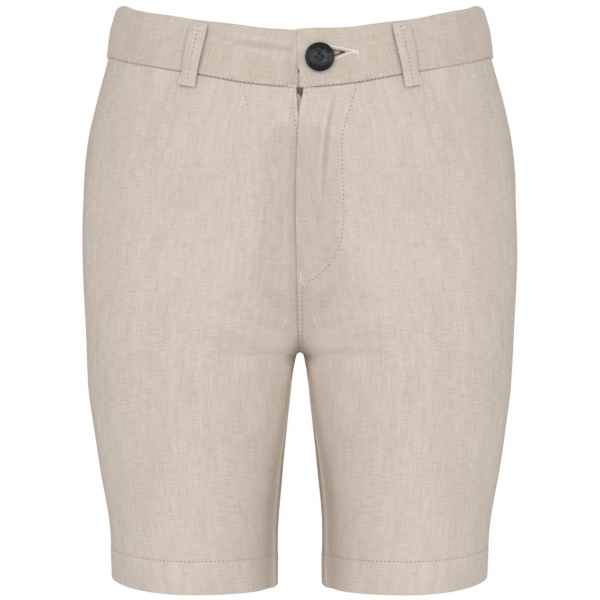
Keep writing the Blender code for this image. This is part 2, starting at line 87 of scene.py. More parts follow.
def soft_light(name, place, size, power):
    """A square soft box that faces the middle of the shorts."""
    light = bpy.data.lights.new(name, "AREA")
    light.shape = "SQUARE"
    light.size = size
    light.energy = power
    lamp = bpy.data.objects.new(name, light)
    lamp.location = place
    towards = Vector((0.0, 0.0, CAMERA_HEIGHT)) - Vector(place)
    lamp.rotation_euler = towards.to_track_quat("-Z", "Y").to_euler()
    scene.collection.objects.link(lamp)


soft_light("key_light", (-1.25, -2.0, 0.75), 1.6, 14.5)
soft_light("fill_light", (1.3, -2.0, 0.55), 1.6, 13.0)
soft_light("rear_light", (0.5, 2.2, 1.0), 1.8, 14.0)

SURROUND_LIGHT = 0.56
world = bpy.data.worlds.new("white_studio")
world.use_nodes = True
nodes, links = world.node_tree.nodes, world.node_tree.links
surround = nodes["Background"]
surround.inputs["Strength"].default_value = SURROUND_LIGHT
backdrop = nodes.new("ShaderNodeBackground")
for white in (surround, backdrop):
    white.inputs["Color"].default_value = (1.0, 1.0, 1.0, 1.0)
seen = nodes.new("ShaderNodeLightPath")
choice = nodes.new("ShaderNodeMixShader")
links.new(seen.outputs["Is Camera Ray"], choice.inputs["Fac"])
links.new(surround.outputs["Background"], choice.inputs[1])
links.new(backdrop.outputs["Background"], choice.inputs[2])
links.new(choice.outputs["Shader"], nodes["World Output"].inputs["Surface"])
scene.world = world


def mesh_of(name, shape):
    """The finished shape as a mesh."""
    mesh = bpy.data.meshes.new(name)
    shape.to_mesh(mesh)
    shape.free()
    return mesh


floor_shape = bmesh.new()
bmesh.ops.create_circle(floor_shape, cap_ends=True, segments=96, radius=FLOOR_RADIUS)
bmesh.ops.translate(floor_shape, verts=floor_shape.verts, vec=(0, 0, cad_box[0][2] - FLOOR_DROP))
floor_mesh = mesh_of("studio_floor", floor_shape)
floor = bpy.data.objects.new("studio_floor", floor_mesh)
scene.collection.objects.link(floor)
floor_finish = bpy.data.materials.new("matt_white_floor")
floor_finish.use_nodes = True
floor_paint = floor_finish.node_tree.nodes["Principled BSDF"]
floor_paint.inputs["Base Color"].default_value = (0.93, 0.93, 0.92, 1.0)
floor_paint.inputs["Roughness"].default_value = 0.8
floor_mesh.materials.append(floor_finish)

# ---- fronts ----
# Two fronts of plain-woven linen, each cut in one piece from the waist seam to the hem. Their edges are
# pressed under at the fly, the slanted pockets and the seams, and the hem is turned up and stitched.
# The left front laps over the right one at the fly.

# The body by height, as half of it is cut and stands out when worn. half_width is the outer side, front
# and back are the torso's depths, fullness is how square its ring is, with 2 an ellipse. inner is the
# gap from the centre line to the inside leg, thigh_front and thigh_back are one leg's depths, and merge
# is 0 where the ring is all torso and 1 where it is all leg.
Level = namedtuple("Level", "height half_width front back fullness inner thigh_front thigh_back merge")
BODY = [
    Level(55, 150.0, 94.0, 92.0, 2.08, 0.0, 92.0, 96.0, 0.00),
    Level(35, 156.3, 95.0, 94.5, 2.08, 0.0, 92.5, 97.0, 0.00),
    Level(20, 160.2, 96.5, 97.0, 2.08, 0.0, 93.0, 98.0, 0.00),
    Level(0, 163.0, 98.5, 101.0, 2.1, 0.0, 93.5, 99.0, 0.00),
    Level(-40, 171.0, 102.5, 108.5, 2.12, 0.0, 94.0, 101.0, 0.00),
    Level(-80, 178.6, 104.5, 114.0, 2.16, 0.0, 94.4, 102.5, 0.00),
    Level(-120, 183.0, 105.2, 117.0, 2.22, 0.0, 94.8, 103.5, 0.00),
    Level(-160, 183.9, 104.8, 117.0, 2.3, 0.0, 95.0, 104.0, 0.02),
    Level(-190, 183.2, 103.8, 115.5, 2.37, 0.0, 95.0, 104.0, 0.15),
    Level(-212, 182.2, 102.6, 113.0, 2.43, 0.0, 94.8, 103.6, 0.40),
    Level(-232, 181.3, 101.4, 110.8, 2.48, 0.0, 94.4, 103.0, 0.71),
    Level(-242, 180.9, 101.0, 109.9, 2.5, 7.0, 94.1, 102.6, 0.845),
    Level(-248, 180.7, 100.8, 109.5, 2.5, 13.4, 94.0, 102.4, 0.905),
    Level(-251, 180.5, 100.6, 109.3, 2.5, 15.7, 93.8, 102.2, 0.93),
    Level(-254, 180.4, 100.4, 109.0, 2.5, 13.3, 93.7, 102.0, 0.95),
    Level(-258, 180.2, 100.2, 108.7, 2.5, 10.2, 93.5, 101.8, 0.97),
    Level(-264, 179.9, 99.9, 108.2, 2.5, 7.9, 93.2, 101.4, 0.988),
    Level(-272, 179.4, 99.5, 107.6, 2.5, 7.3, 92.9, 100.9, 0.997),
    Level(-280, 178.9, 99.0, 107.0, 2.5, 7.8, 92.5, 100.4, 1.00),
    Level(-310, 174.8, 97.0, 104.5, 2.5, 10.8, 90.7, 98.0, 1.00),
    Level(-350, 169.0, 95.0, 101.0, 2.5, 14.8, 88.0, 94.6, 1.00),
    Level(-400, 160.8, 93.0, 98.0, 2.5, 18.8, 84.8, 90.0, 1.00),
    Level(-450, 157.9, 91.0, 95.0, 2.5, 19.3, 82.4, 86.2, 1.00),
]
LEG_FULLNESS = 2.06

# The waistband's lower and upper edges, by degrees round the body from the centre front, and the hem, by
# degrees round one leg from the inside leg, by way of the front.
Waist = namedtuple("Waist", "around seam top")
WAIST = [
    Waist(0, -35.0, 12.5),
    Waist(12, -31.8, 14.6),
    Waist(30, -22.4, 21.4),
    Waist(45, -15.2, 28.0),
    Waist(60, -8.8, 35.0),
    Waist(72, -3.8, 39.6),
    Waist(90, -1.2, 38.4),
    Waist(130, -7.0, 33.6),
    Waist(180, -13.0, 30.0),
]
Hem = namedtuple("Hem", "around height")
HEM = [Hem(0, -447.0), Hem(90, -446.3), Hem(180, -440.0), Hem(270, -445.5), Hem(360, -447.0)]
BELOW_WAIST = -150
ABOVE_HEM = -300
HEM_LEVEL = -446
# Above the crotch the lines round the body fan out from it over this height, and between these degrees
# from the inside leg.
CROTCH_FAN = 72
FAN_FROM, FAN_OVER = 40, 70
# Half the gap between two panels' edges, how far behind the middle the side seam lies, and the height at
# which the WAIST table's degrees are read.
HALF_GAP = 0.15
SIDE_SEAM_DEPTH = 8.0
WAIST_READ_HEIGHT = -20.0


def curve(places, values):
    """A smooth reading of a short table, with no overshoot between its rows."""
    order = np.argsort(places)
    xs = np.array(places, float)[order]
    ys = np.array(values, float)[order]
    steps = np.diff(xs)
    slopes = np.diff(ys) / steps
    tangents = np.zeros(len(xs))
    before, after = slopes[:-1], slopes[1:]
    same_way = before * after > 0
    total = np.where(same_way, before + after, 1.0)
    tangents[1:-1] = np.where(same_way, 2 * before * after / total, 0.0)
    tangents[0], tangents[-1] = slopes[0], slopes[-1]

    def read(at):
        at = np.clip(at, xs[0], xs[-1])
        cell = np.clip(np.searchsorted(xs, at) - 1, 0, len(xs) - 2)
        step = steps[cell]
        part = (at - xs[cell]) / step
        rest = 1 - part
        ends = ys[cell] * (1 + 2 * part) * rest**2 + ys[cell + 1] * (3 - 2 * part) * part**2
        leans = tangents[cell] * part * rest**2 - tangents[cell + 1] * rest * part**2
        return ends + leans * step

    return read


def table_curve(table, place, value):
    return curve([getattr(row, place) for row in table], [getattr(row, value) for row in table])


body = {name: table_curve(BODY, "height", name) for name in Level._fields[1:]}
waist_seam = table_curve(WAIST, "around", "seam")
waist_top = table_curve(WAIST, "around", "top")
hem_height = table_curve(HEM, "around", "height")


def ease(part):
    """0 below 0, 1 above 1, and a smooth step between."""
    part = np.clip(part, 0.0, 1.0)
    return part * part * (3 - 2 * part)


def fading(values, start, over):
    """1 up to start, and 0 from over beyond it."""
    return 1 - ease((values - start) / over)


def below(height, start, over):
    """0 down to start, and 1 from over below it."""
    return ease((start - height) / over)


def swell(values, middle, spread):
    """1 at the middle, falling away over the spread to each side."""
    return np.exp(-(((values - middle) / spread) ** 2))


def torso_reach(centre, across, along, height):
    """How far the torso's ring lies from the leg's centre, in the direction (across, along)."""
    depth = np.where(along < 0, body["front"](height), body["back"](height))
    width = body["half_width"](height)
    power = body["fullness"](height)
    near = np.zeros_like(across)
    far = np.full_like(across, 600.0)
    for _ in range(36):
        middle = (near + far) / 2
        inside = (
            np.abs((centre + middle * across) / width) ** power
            + np.abs(middle * along / depth) ** power
        ) < 1
        near = np.where(inside, middle, near)
        far = np.where(inside, far, middle)
    return near


def leg_reach(radius, across, along, height):
    depth = np.where(along < 0, body["thigh_front"](height), body["thigh_back"](height))
    return (
        np.abs(across / radius) ** LEG_FULLNESS + np.abs(along / depth) ** LEG_FULLNESS
    ) ** (-1 / LEG_FULLNESS)


def cloth_point(turn, height):
    """A point of the left half's outer surface. turn runs from the inside leg by way of the front."""
    turn, height = np.broadcast_arrays(np.asarray(turn, float), np.asarray(height, float))
    width, inner = body["half_width"](height), body["inner"](height)
    centre, radius = (width + inner) / 2, (width - inner) / 2
    across, along = -np.cos(turn), -np.sin(turn)
    merge = body["merge"](height)
    reach = (1 - merge) * torso_reach(centre, across, along, height)
    reach = reach + merge * leg_reach(radius, across, along, height)
    return np.stack([centre + reach * across, reach * along, height], axis=-1)


def cloth_normal(turn, height):
    round_it = cloth_point(turn + 0.002, height) - cloth_point(turn - 0.002, height)
    up_it = cloth_point(turn, height + 0.5) - cloth_point(turn, height - 0.5)
    normal = np.cross(round_it, up_it)
    return normal / np.linalg.norm(normal, axis=-1, keepdims=True)


def degrees_round_body(points):
    """Degrees from the centre front, the way that the WAIST table counts them."""
    depth = np.where(points[..., 1] < 0, body["front"](points[..., 2]), body["back"](points[..., 2]))
    width = body["half_width"](points[..., 2])
    return np.degrees(np.arctan2(np.abs(points[..., 0]) / width, -points[..., 1] / depth))


def waist_degrees(turns):
    return degrees_round_body(cloth_point(turns, WAIST_READ_HEIGHT))


def crotch_height():
    low, high = -262.0, -230.0
    for _ in range(40):
        middle = (low + high) / 2
        if cloth_point(0.0, middle)[0] > 0:
            low = middle
        else:
            high = middle
    return low


CROTCH = crotch_height()


class Ring:
    """The left half's cloth along one line round it, from the centre front or the inside leg.

    heights gives the line's height at each turn. along is the length from the start, side is where
    the side seam lies and length is where the line ends, at the centre back or the inside leg.
    """

    SAMPLES = 721

    def __init__(self, heights, is_leg):
        turns = np.linspace(0, 2 * math.pi, self.SAMPLES)
        if not is_leg:
            across = cloth_point(turns, heights(turns))[:, 0]
            outside = np.nonzero(across > 0)[0]
            first, last = outside[0], outside[-1]
            start = np.interp(0, across[first - 1 : first + 1], turns[first - 1 : first + 1])
            end = np.interp(0, -across[last : last + 2], turns[last : last + 2])
            turns = np.linspace(start, end, self.SAMPLES)
        height = heights(turns)
        self.is_leg = is_leg
        self.points = cloth_point(turns, height)
        self.normals = cloth_normal(turns, height)
        steps = np.linalg.norm(np.diff(self.points, axis=0), axis=1)
        self.along = np.concatenate([[0.0], np.cumsum(steps)])
        self.length = self.along[-1]
        outer = (turns > math.pi / 2) & (turns < 3 * math.pi / 2)
        self.side = np.interp(SIDE_SEAM_DEPTH, self.points[outer, 1], self.along[outer])

    def read(self, places):
        """Points and normals at these lengths. Past either end the other half goes on as a mirror image."""
        places = np.asarray(places, float)
        folded = np.where(places < 0, -places, places)
        folded = np.where(folded > self.length, 2 * self.length - folded, folded)
        points = np.stack([np.interp(folded, self.along, self.points[:, k]) for k in range(3)], -1)
        normals = np.stack([np.interp(folded, self.along, self.normals[:, k]) for k in range(3)], -1)
        past = (places < 0) | (places > self.length)
        sign = np.where(past, -1.0, 1.0)
        points[..., 0] *= sign
        normals[..., 0] *= sign
        return points, normals / np.linalg.norm(normals, axis=-1, keepdims=True)

    def place_of_x(self, x):
        """The length at which the front stretch passes this X, negative past the centre line."""
        front = self.points[:, 1] < 0
        return math.copysign(np.interp(abs(x), self.points[front, 0], self.along[front]), x)


known_rings = {}


def kept_ring(key, heights, is_leg):
    """The ring with these heights, worked out once and then kept under its key."""
    if key not in known_rings:
        known_rings[key] = Ring(heights, is_leg)
    return known_rings[key]


def panel_ring(level):
    """The ring of a panel whose height at the centre seams is level.

    It follows the waist seam above and the hem below, and near the crotch its sides lie higher than its
    ends, so that the rings divide the curved crotch seam evenly.
    """

    def heights(turns):
        if CROTCH < level < CROTCH + CROTCH_FAN:
            side = CROTCH + math.sqrt(CROTCH_FAN * (level - CROTCH))
            from_inside = np.degrees(np.minimum(turns, 2 * math.pi - turns))
            return level + (side - level) * ease((from_inside - FAN_FROM) / FAN_OVER)
        if level > BELOW_WAIST:
            share = level / BELOW_WAIST
            return (1 - share) * (waist_seam(waist_degrees(turns)) - HALF_GAP) + share * BELOW_WAIST
        if level < ABOVE_HEM:
            share = (ABOVE_HEM - level) / (ABOVE_HEM - HEM_LEVEL)
            return ABOVE_HEM + share * (hem_height(np.degrees(turns)) - ABOVE_HEM)
        return np.full_like(turns, level)

    level = round(level, 3)
    return kept_ring(level, heights, level <= CROTCH)


# A row of cloth is a level with the layer's depth behind the outer face. The first rows tuck the cloth
# under the waistband, and the last ones turn it round at the hem and up inside it. Below the fork the
# rows are fine for a little way.
Row = namedtuple("Row", "level depth")
ROW_STEP = 2.0
HEM_DEEP = 28.0
LAYER = 1.5
FORK_FINE = 9.0
TUCK_ROWS = [Row(3.2, 0.9), Row(1.0, 1.05), Row(0.0, 1.1), Row(-0.3, 0.6), Row(-0.9, 0.2), Row(-1.8, 0.0)]
HEM_TURN_ROWS = [
    Row(HEM_LEVEL + 0.9, 0.03),
    Row(HEM_LEVEL + 0.25, 0.25),
    Row(HEM_LEVEL, 0.75),
    Row(HEM_LEVEL + 0.25, 1.25),
    Row(HEM_LEVEL + 0.9, 1.47),
]


def rows_between(high, low, depth=0.0, step=ROW_STEP):
    count = max(1, round(abs(high - low) / step))
    return [Row(high + (low - high) * k / count, depth) for k in range(1, count + 1)]


fan_steps = round(CROTCH_FAN / ROW_STEP)
fan_rows = [Row(CROTCH + CROTCH_FAN * (1 - k / fan_steps) ** 2, 0.0) for k in range(1, fan_steps)]
hem_inside = rows_between(HEM_LEVEL + 0.9, HEM_LEVEL + HEM_DEEP, LAYER, step=3.0)
PANEL_ROWS = (
    TUCK_ROWS
    + rows_between(TUCK_ROWS[-1].level, CROTCH + CROTCH_FAN)
    + fan_rows
    + [Row(CROTCH - 0.001, 0.0)]
    + rows_between(CROTCH, CROTCH - FORK_FINE, step=0.75)
    + rows_between(CROTCH - FORK_FINE, HEM_LEVEL + 2.0)
    + HEM_TURN_ROWS
    + hem_inside
    + [Row(HEM_LEVEL + HEM_DEEP + 0.4, LAYER - 0.3)]
)

# How an edge turns under, from the hidden end of the allowance to the face: how far from the fold, and
# how deep behind the face.
Turn = namedtuple("Turn", "inset depth")
EDGE_TURN = [
    Turn(9.0, 1.5),
    Turn(3.0, 1.5),
    Turn(0.8, 1.42),
    Turn(0.15, 1.1),
    Turn(0.0, 0.75),
    Turn(0.15, 0.35),
    Turn(0.5, 0.1),
    Turn(1.1, 0.0),
]
FINE_ZONE = 62.0
FINE_STEP = 1.1
COARSE_COLUMNS = 78
CLOTH_THICK = 0.6

# The two fronts' edges at the fly, in X. The left front laps over the right one, which is pressed
# inwards there by lap. Below the fly they meet in the front seam.
Fly = namedtuple("Fly", "height left_edge right_edge lap")
FLY = [
    Fly(-20, 2.9, -3.1, 0.0),
    Fly(-38, 2.4, -2.9, 0.0),
    Fly(-47, 0.3, -2.2, 1.2),
    Fly(-52, -0.6, -1.6, 1.8),
    Fly(-58, -0.8, 0.2, 1.8),
    Fly(-70, -2.0, 1.5, 1.8),
    Fly(-105, -3.2, 1.5, 1.8),
    Fly(-140, -3.6, 1.5, 1.8),
    Fly(-178, -2.8, 1.5, 1.8),
    Fly(-196, -2.6, 0.2, 1.6),
    Fly(-206, -2.3, 0.0, 1.2),
    Fly(-236, -0.9, 0.9, 1.1),
    Fly(-246, -0.5, 0.6, 1.0),
    Fly(-250.2, 0.0, 0.0, 0.5),
    Fly(-252, 0.15, -0.15, 0.0),
    Fly(-460, 0.15, -0.15, 0.0),
]
fly = {name: table_curve(FLY, "height", name) for name in Fly._fields[1:]}
# How far from its edge the right front stays pressed in, and over what length it comes out again.
LAP_FLAT = 4.5
LAP_RISE = 7.5

# The slanted pocket: how far in from the side seam it starts at the waist, where it ends, how far its
# edge stands off, and how far into the front that reaches.
POCKET_INSET = 29.0
POCKET_BOTTOM = -118.0
POCKET_GAPE = 3.0
GAPE_REACH = 42.0


def pocket_share(height):
    """0 at the pocket's lower end and below it, 1 at the waist seam."""
    return np.clip((height - POCKET_BOTTOM) / -POCKET_BOTTOM, 0.0, 1.0)


def pocket_edge(ring):
    """How far along the ring the front ends: at the side seam, or at the slanted pocket edge."""
    height = ring.read(ring.side)[0][2]
    return ring.side - HALF_GAP - POCKET_INSET * pocket_share(height)


def pocket_gape(ring, places):
    """How far the pocket's edge stands off, most at its middle."""
    share = pocket_share(ring.read(ring.side)[0][2])
    near = ease(1 - (ring.side - places) / GAPE_REACH)
    return POCKET_GAPE * np.sin(math.pi * share) ** 0.8 * near if 0 < share < 1 else 0.0 * places


# A soft crease: where it starts, bends and ends in X and Z on its half, how far it spreads to each side,
# and its height, negative for a trough.
Crease = namedtuple("Crease", "start bend end spread rise")
CREASE_STEPS = 12


def crease_relief(across, height, creases):
    """How far the creases lift the cloth at these points."""
    relief = np.zeros_like(across)
    for crease in creases:
        share = np.linspace(0, 1, CREASE_STEPS + 1)[:, None]
        start, bend, end = (np.array(place, float) for place in crease[:3])
        line = (1 - share) ** 2 * start + 2 * share * (1 - share) * bend + share**2 * end
        nearest = np.full_like(across, 1e9)
        passed = np.zeros_like(across)
        for step in range(CREASE_STEPS):
            run = line[step + 1] - line[step]
            away = across - line[step][0], height - line[step][1]
            part = np.clip((away[0] * run[0] + away[1] * run[1]) / (run @ run), 0, 1)
            gap = (away[0] - part * run[0]) ** 2 + (away[1] - part * run[1]) ** 2
            passed = np.where(gap < nearest, (step + part) / CREASE_STEPS, passed)
            nearest = np.minimum(gap, nearest)
        relief += crease.rise * np.exp(-nearest / crease.spread**2) * np.sin(math.pi * passed) ** 0.7
    return relief


def smoothed(values, reach):
    """The values averaged over a square of neighbours."""
    padded = np.pad(values, reach, mode="edge")
    window = 2 * reach + 1
    sums = padded.cumsum(0)
    sums = np.vstack([sums[window - 1 : window], sums[window:] - sums[:-window]]) / window
    sums = sums.cumsum(1)
    return np.hstack([sums[:, window - 1 : window], sums[:, window:] - sums[:, :-window]]) / window


def finish_piece(name, mesh, finish, stands_for):
    """A piece's object, riding on the body and standing for its CAD solids."""
    mesh.materials.append(finish)
    piece = bpy.data.objects.new(name, mesh)
    scene.collection.objects.link(piece)
    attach(piece, "root")
    if stands_for:
        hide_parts(*stands_for)
    return piece


# How the linen's grain drifts across the panels as it goes down, and how far the crosswise threads climb
# towards the sides for each millimetre out from the middle.
Grain = namedtuple("Grain", "height drift climb")
GRAIN = [
    Grain(40, 0.0, 0.2),
    Grain(-100, 0.0, 0.18),
    Grain(-140, -3.5, 0.17),
    Grain(-180, -10.5, 0.15),
    Grain(-230, -19.4, 0.09),
    Grain(-270, -24.0, 0.03),
    Grain(-300, -28.0, 0.0),
    Grain(-340, -32.0, 0.0),
    Grain(-380, -33.0, 0.0),
    Grain(-410, -31.0, 0.0),
    Grain(-450, -26.0, 0.0),
]
grain_drift = table_curve(GRAIN, "height", "drift")
grain_climb = table_curve(GRAIN, "height", "climb")


def cloth_grid(name, points, uvs, ridges, inside_out, doubled=None):
    """A mesh of one sheet of cloth: rows by columns of points, with its own map and ridge values."""
    rows, columns = points.shape[:2]
    shape = bmesh.new()
    bmesh.ops.create_grid(shape, x_segments=columns - 1, y_segments=rows - 1, size=1, calc_uvs=True)
    mesh = mesh_of(name, shape)
    mesh.vertices.foreach_set("co", (points * MM).astype(np.float32).ravel())
    corner_of = np.empty(len(mesh.loops), np.int32)
    mesh.loops.foreach_get("vertex_index", corner_of)
    layer = mesh.uv_layers[0] if mesh.uv_layers else mesh.uv_layers.new(name="weave")
    layer.name = "weave"
    layer.data.foreach_set("uv", (uvs * MM).reshape(-1, 2)[corner_of].astype(np.float32).ravel())
    # Painted shade and painted light for the finish are kept on the points, with the ridge values.
    doubled = np.zeros_like(ridges) if doubled is None else doubled
    for look, values in (("ridge", ridges), ("doubled", doubled)):
        kept = mesh.attributes.new(look, "FLOAT", "POINT")
        kept.data.foreach_set("value", values.ravel().astype(np.float32))
    if inside_out:
        mesh.flip_normals()
    mesh.shade_smooth()
    mesh.update()
    return mesh


def thicken(piece, thick):
    wall = piece.modifiers.new("cloth_thickness", "SOLIDIFY")
    wall.thickness = thick * MM
    wall.offset = -1.0


def edge_columns(start, end, fine_zone, coarse_columns):
    """Places along a ring from the allowance behind one edge, over the face, to the other allowance."""
    first = [start + turn.inset for turn in EDGE_TURN]
    last = [end - turn.inset for turn in reversed(EDGE_TURN)]
    fine_count = round((fine_zone - EDGE_TURN[-1].inset) / FINE_STEP)
    fine = np.linspace(first[-1], start + fine_zone, fine_count + 1)[1:]
    coarse = np.linspace(fine[-1], last[0], coarse_columns + 1)[1:-1]
    return np.concatenate([first, fine, coarse, last])


def edge_depths(columns, row_depth):
    """How deep each column lies because its edge is turned under, less so inside the hem."""
    turned = [turn.depth for turn in EDGE_TURN]
    depths = np.zeros(columns)
    depths[: len(turned)] = turned
    depths[-len(turned) :] = turned[::-1]
    return depths if row_depth < LAYER / 2 else -0.2 * depths


def body_panel(name, rows, row_places, relief, edge, mirrored):
    """The mesh of one panel: row_places gives a ring's columns and relief the cloth's own shape."""
    points, normals, uvs, face, depth, doubled = [], [], [], [], [], []
    for row in rows:
        ring = panel_ring(row.level)
        places = row_places(ring)
        row_points, row_normals = ring.read(places)
        across, height = row_points[:, 0], row_points[:, 2]
        points.append(row_points)
        normals.append(row_normals)
        weft = height - grain_climb(height) * across
        uvs.append(np.stack([places - ring.side + grain_drift(height), weft], -1))
        face.append(relief(ring, places, row_points))
        depth.append(edge_depths(len(places), row.depth) + row.depth)
        # The painted shade and painted light that each point's colour takes.
        doubled.append(painted_shade_and_light(row_points, mirrored))
    layers = (points, normals, uvs, face, depth, doubled)
    points, normals, uvs, face, depth, doubled = (np.array(layer) for layer in layers)
    ridges = face - smoothed(face, 3)
    points = points + normals * (face - depth)[..., None]
    if edge is not None:
        points[..., 0] = np.maximum(points[..., 0], edge(points[..., 2]))
    if mirrored:
        points[..., 0] *= -1
    return cloth_grid(name, points, uvs, ridges, not mirrored, doubled)


# How deep the hem's stitches pull the cloth in, how far the doubled cloth below them stands proud, and
# how far it puckers.
STITCH_GROOVE = 0.14
HEM_PROUD = 0.35
HEM_PUCKER = 0.16


def hem_relief(points, turns_level):
    """The hem's two layers of cloth stand a little proud of the leg, below a stitched groove."""
    above = turns_level - HEM_LEVEL
    across = points[:, 0]
    doubled = HEM_PROUD * below(above, HEM_DEEP + 3.0, 8.0)
    pucker = HEM_PUCKER * np.sin(across / 3.1 + 1.3 * np.sin(across / 17.0)) * below(above, 40, 20)
    return doubled - STITCH_GROOVE * swell(above, HEM_DEEP, 1.6) + pucker


# The inside leg's allowances are pressed to the front, where their edge shows as a thin ridge with a
# hollow beside it, and the cloth is full by the fork. The places are lengths round the leg from the seam.
Swell = namedtuple("Swell", "rise place spread")
INSEAM_RIDGE = Swell(1.25, 25.0, 2.1)
INSEAM_HOLLOW = Swell(-1.5, 37.0, 11.0)
FORK_FILL = Swell(2.6, 34.0, 15.0)
RIDGE_TOP = -262
THIGH_TOP = -290


def inseam_relief(ring, places, height):
    """The pressed ridge inside the front of the leg, the hollow beside it and the full cloth by the fork."""
    if not ring.is_leg:
        return 0.0 * places
    from_seam = np.minimum(places, ring.length - places)
    ridge = INSEAM_RIDGE.rise * below(height, RIDGE_TOP, 16) * swell(places, *INSEAM_RIDGE[1:])
    hollow = INSEAM_HOLLOW.rise * below(height, THIGH_TOP, 90) * swell(from_seam, *INSEAM_HOLLOW[1:])
    beside_fork = below(height, CROTCH - 1, 12) * (1 - below(height, THIGH_TOP, 60))
    return ridge + hollow + FORK_FILL.rise * beside_fork * swell(from_seam, *FORK_FILL[1:])


# Painted shade and painted light on the thin linen: it is painted darker over another layer, over the
# other leg, at the fork and at the body's outer edges, and paler where light would come through it. A
# patch lies at the fork: how far out and above it, its reach each way and how dark it is, below 0 for
# painted light. A zone lies inside the leg: from where, over what width, below which height it comes
# in, and how dark.
Patch = namedtuple("Patch", "across above reach_across reach_above dark")
FORK_PATCHES = [
    Patch(0.0, 0.0, 6.5, 10.0, 1.5),
    Patch(15.0, -3.0, 12.0, 19.0, -0.45),
    Patch(24.0, 6.0, 20.0, 8.0, -0.42),
]
Zone = namedtuple("Zone", "start over top deep dark")
INSIDE_LEG_ZONES = [Zone(6.0, 24.0, -280, 110, 0.6), Zone(3.0, 9.0, -270, 20, 0.35)]
PRESSED_EDGE = Zone(0.4, 2.0, RIDGE_TOP, 30, 0.8)
FLY_ZONE = Zone(22.0, 20.0, -52, 30, 0.5)
FLY_ZONE_FOOT = -205
# A painted highlight runs along the pressed allowance's edge, and painted shade darkens the body's
# outer edge from this share of its half width on, over this share.
EDGE_GLOW = Swell(0.5, 3.4, 0.9)
OUTER_EDGE_START, OUTER_EDGE_OVER, OUTER_EDGE_DARK = 0.955, 0.04, 0.45
# The painted shade along the front seam's fold: where it starts, its line on the left front, and how
# dark and how wide it is on each front. On the right front it follows the left front's edge.
SEAM_TOP = -186
SEAM_STITCH_LINE = 1.9
SEAM_FOLD_RIGHT = (0.9, 1.3)
SEAM_FOLD_LEFT = (0.6, 0.9)


def painted_shade_and_light(points, mirrored):
    """How much painted shade darkens the cloth at these points, below 0 where painted light makes it paler.
    """
    across, height = np.abs(points[:, 0]), points[:, 2]
    at_front = points[:, 1] < 0
    from_inside = across - body["inner"](height)

    def zone_dark(values, zone):
        return zone.dark * fading(values, zone.start, zone.over) * below(height, zone.top, zone.deep)

    dark = zone_dark(across, FLY_ZONE) * (1 - below(height, FLY_ZONE_FOOT, FLY_ZONE.deep)) * at_front
    for zone in INSIDE_LEG_ZONES:
        dark = dark + zone_dark(from_inside, zone)
    dark = dark + zone_dark(from_inside, PRESSED_EDGE) * at_front
    glow = EDGE_GLOW.rise * below(height, PRESSED_EDGE.top, PRESSED_EDGE.deep) * at_front
    dark = dark - glow * swell(from_inside, *EDGE_GLOW[1:])
    for patch in FORK_PATCHES:
        near = swell(across, patch.across, patch.reach_across)
        dark = dark + patch.dark * near * swell(height - CROTCH, patch.above, patch.reach_above)
    outward = across / body["half_width"](height)
    dark = dark + OUTER_EDGE_DARK * ease((outward - OUTER_EDGE_START) / OUTER_EDGE_OVER)
    fold = -fly["left_edge"](height) if mirrored else SEAM_STITCH_LINE
    seam_dark, spread = SEAM_FOLD_RIGHT if mirrored else SEAM_FOLD_LEFT
    in_seam = below(height, SEAM_TOP, 10) * (height > CROTCH) * at_front
    return np.clip(dark + seam_dark * in_seam * swell(across, fold, spread), -1.0, 1.0)


def soft_waves(points, seed):
    """Long, shallow unevenness of washed linen, different on each panel."""
    across, height = points[:, 0], points[:, 2]
    slow = np.sin(across / 31.0 + height / 57.0 + seed) * np.sin(height / 43.0 - across / 71.0 + 2.1 * seed)
    quick = np.sin(across / 13.0 - height / 29.0 + 3.3 * seed) * np.sin(height / 19.0 + across / 37.0 + seed)
    return 0.45 * slow + 0.14 * quick


# Where the right front is rippled along its grain, beside the fly: the middle and half size of the patch.
RIPPLE_MIDDLE = (38.0, -118.0)
RIPPLE_REACH = (30.0, 75.0)
RIPPLE_RISE = 0.17


def ripples(points, seed):
    """Narrow upright ripples where the cloth is pulled over the fly's shield."""
    across, height = points[:, 0], points[:, 2]
    off = [(at - middle) / reach for at, middle, reach in zip((across, height), RIPPLE_MIDDLE, RIPPLE_REACH)]
    inside = np.exp(-(off[0] ** 4)) * np.exp(-(off[1] ** 4))
    bent = across + 2.5 * np.sin(height / 21.0 + seed) + 1.2 * np.sin(height / 8.0 + across / 6.0)
    waves = np.sin(bent / 1.05) + 0.8 * np.sin(bent / 1.62 + 1.0) * np.sin(height / 15.0 + across / 11.0)
    return RIPPLE_RISE * inside * waves


LEFT_FRONT_CREASES = [
    Crease((30.0, -36), (20, -66), (18.5, -134), 2.1, -1.7),
    Crease((26.0, -37), (16.5, -66), (14.8, -130), 2.6, 1.1),
    Crease((34.0, -44), (27, -70), (25, -120), 4.5, -0.35),
    Crease((5, -236), (34, -226), (78, -196), 6.5, -0.8),
    Crease((7, -243), (46, -240), (104, -226), 8.0, -0.9),
    Crease((6, -228), (22, -206), (50, -168), 6.0, -0.5),
    Crease((12, -252), (42, -268), (70, -330), 8.0, -0.7),
    Crease((9, -226), (44, -216), (96, -210), 7.0, 0.4),
    Crease((60, -150), (84, -176), (128, -192), 9.0, -0.5),
    Crease((96, -52), (88, -80), (92, -118), 8.0, -0.45),
    Crease((124, -260), (112, -300), (118, -352), 9.0, -0.6),
    Crease((84, -318), (96, -352), (90, -398), 8.0, 0.5),
    Crease((48, -372), (66, -392), (104, -402), 9.0, -0.45),
    Crease((150, -150), (146, -196), (158, -236), 8.0, -0.7),
    Crease((1.9, -186), (2.1, -222), (1.3, -252), 1.2, -0.4),
    Crease((0.2, -190), (0.5, -222), (0.4, -252), 1.1, 0.3),
]
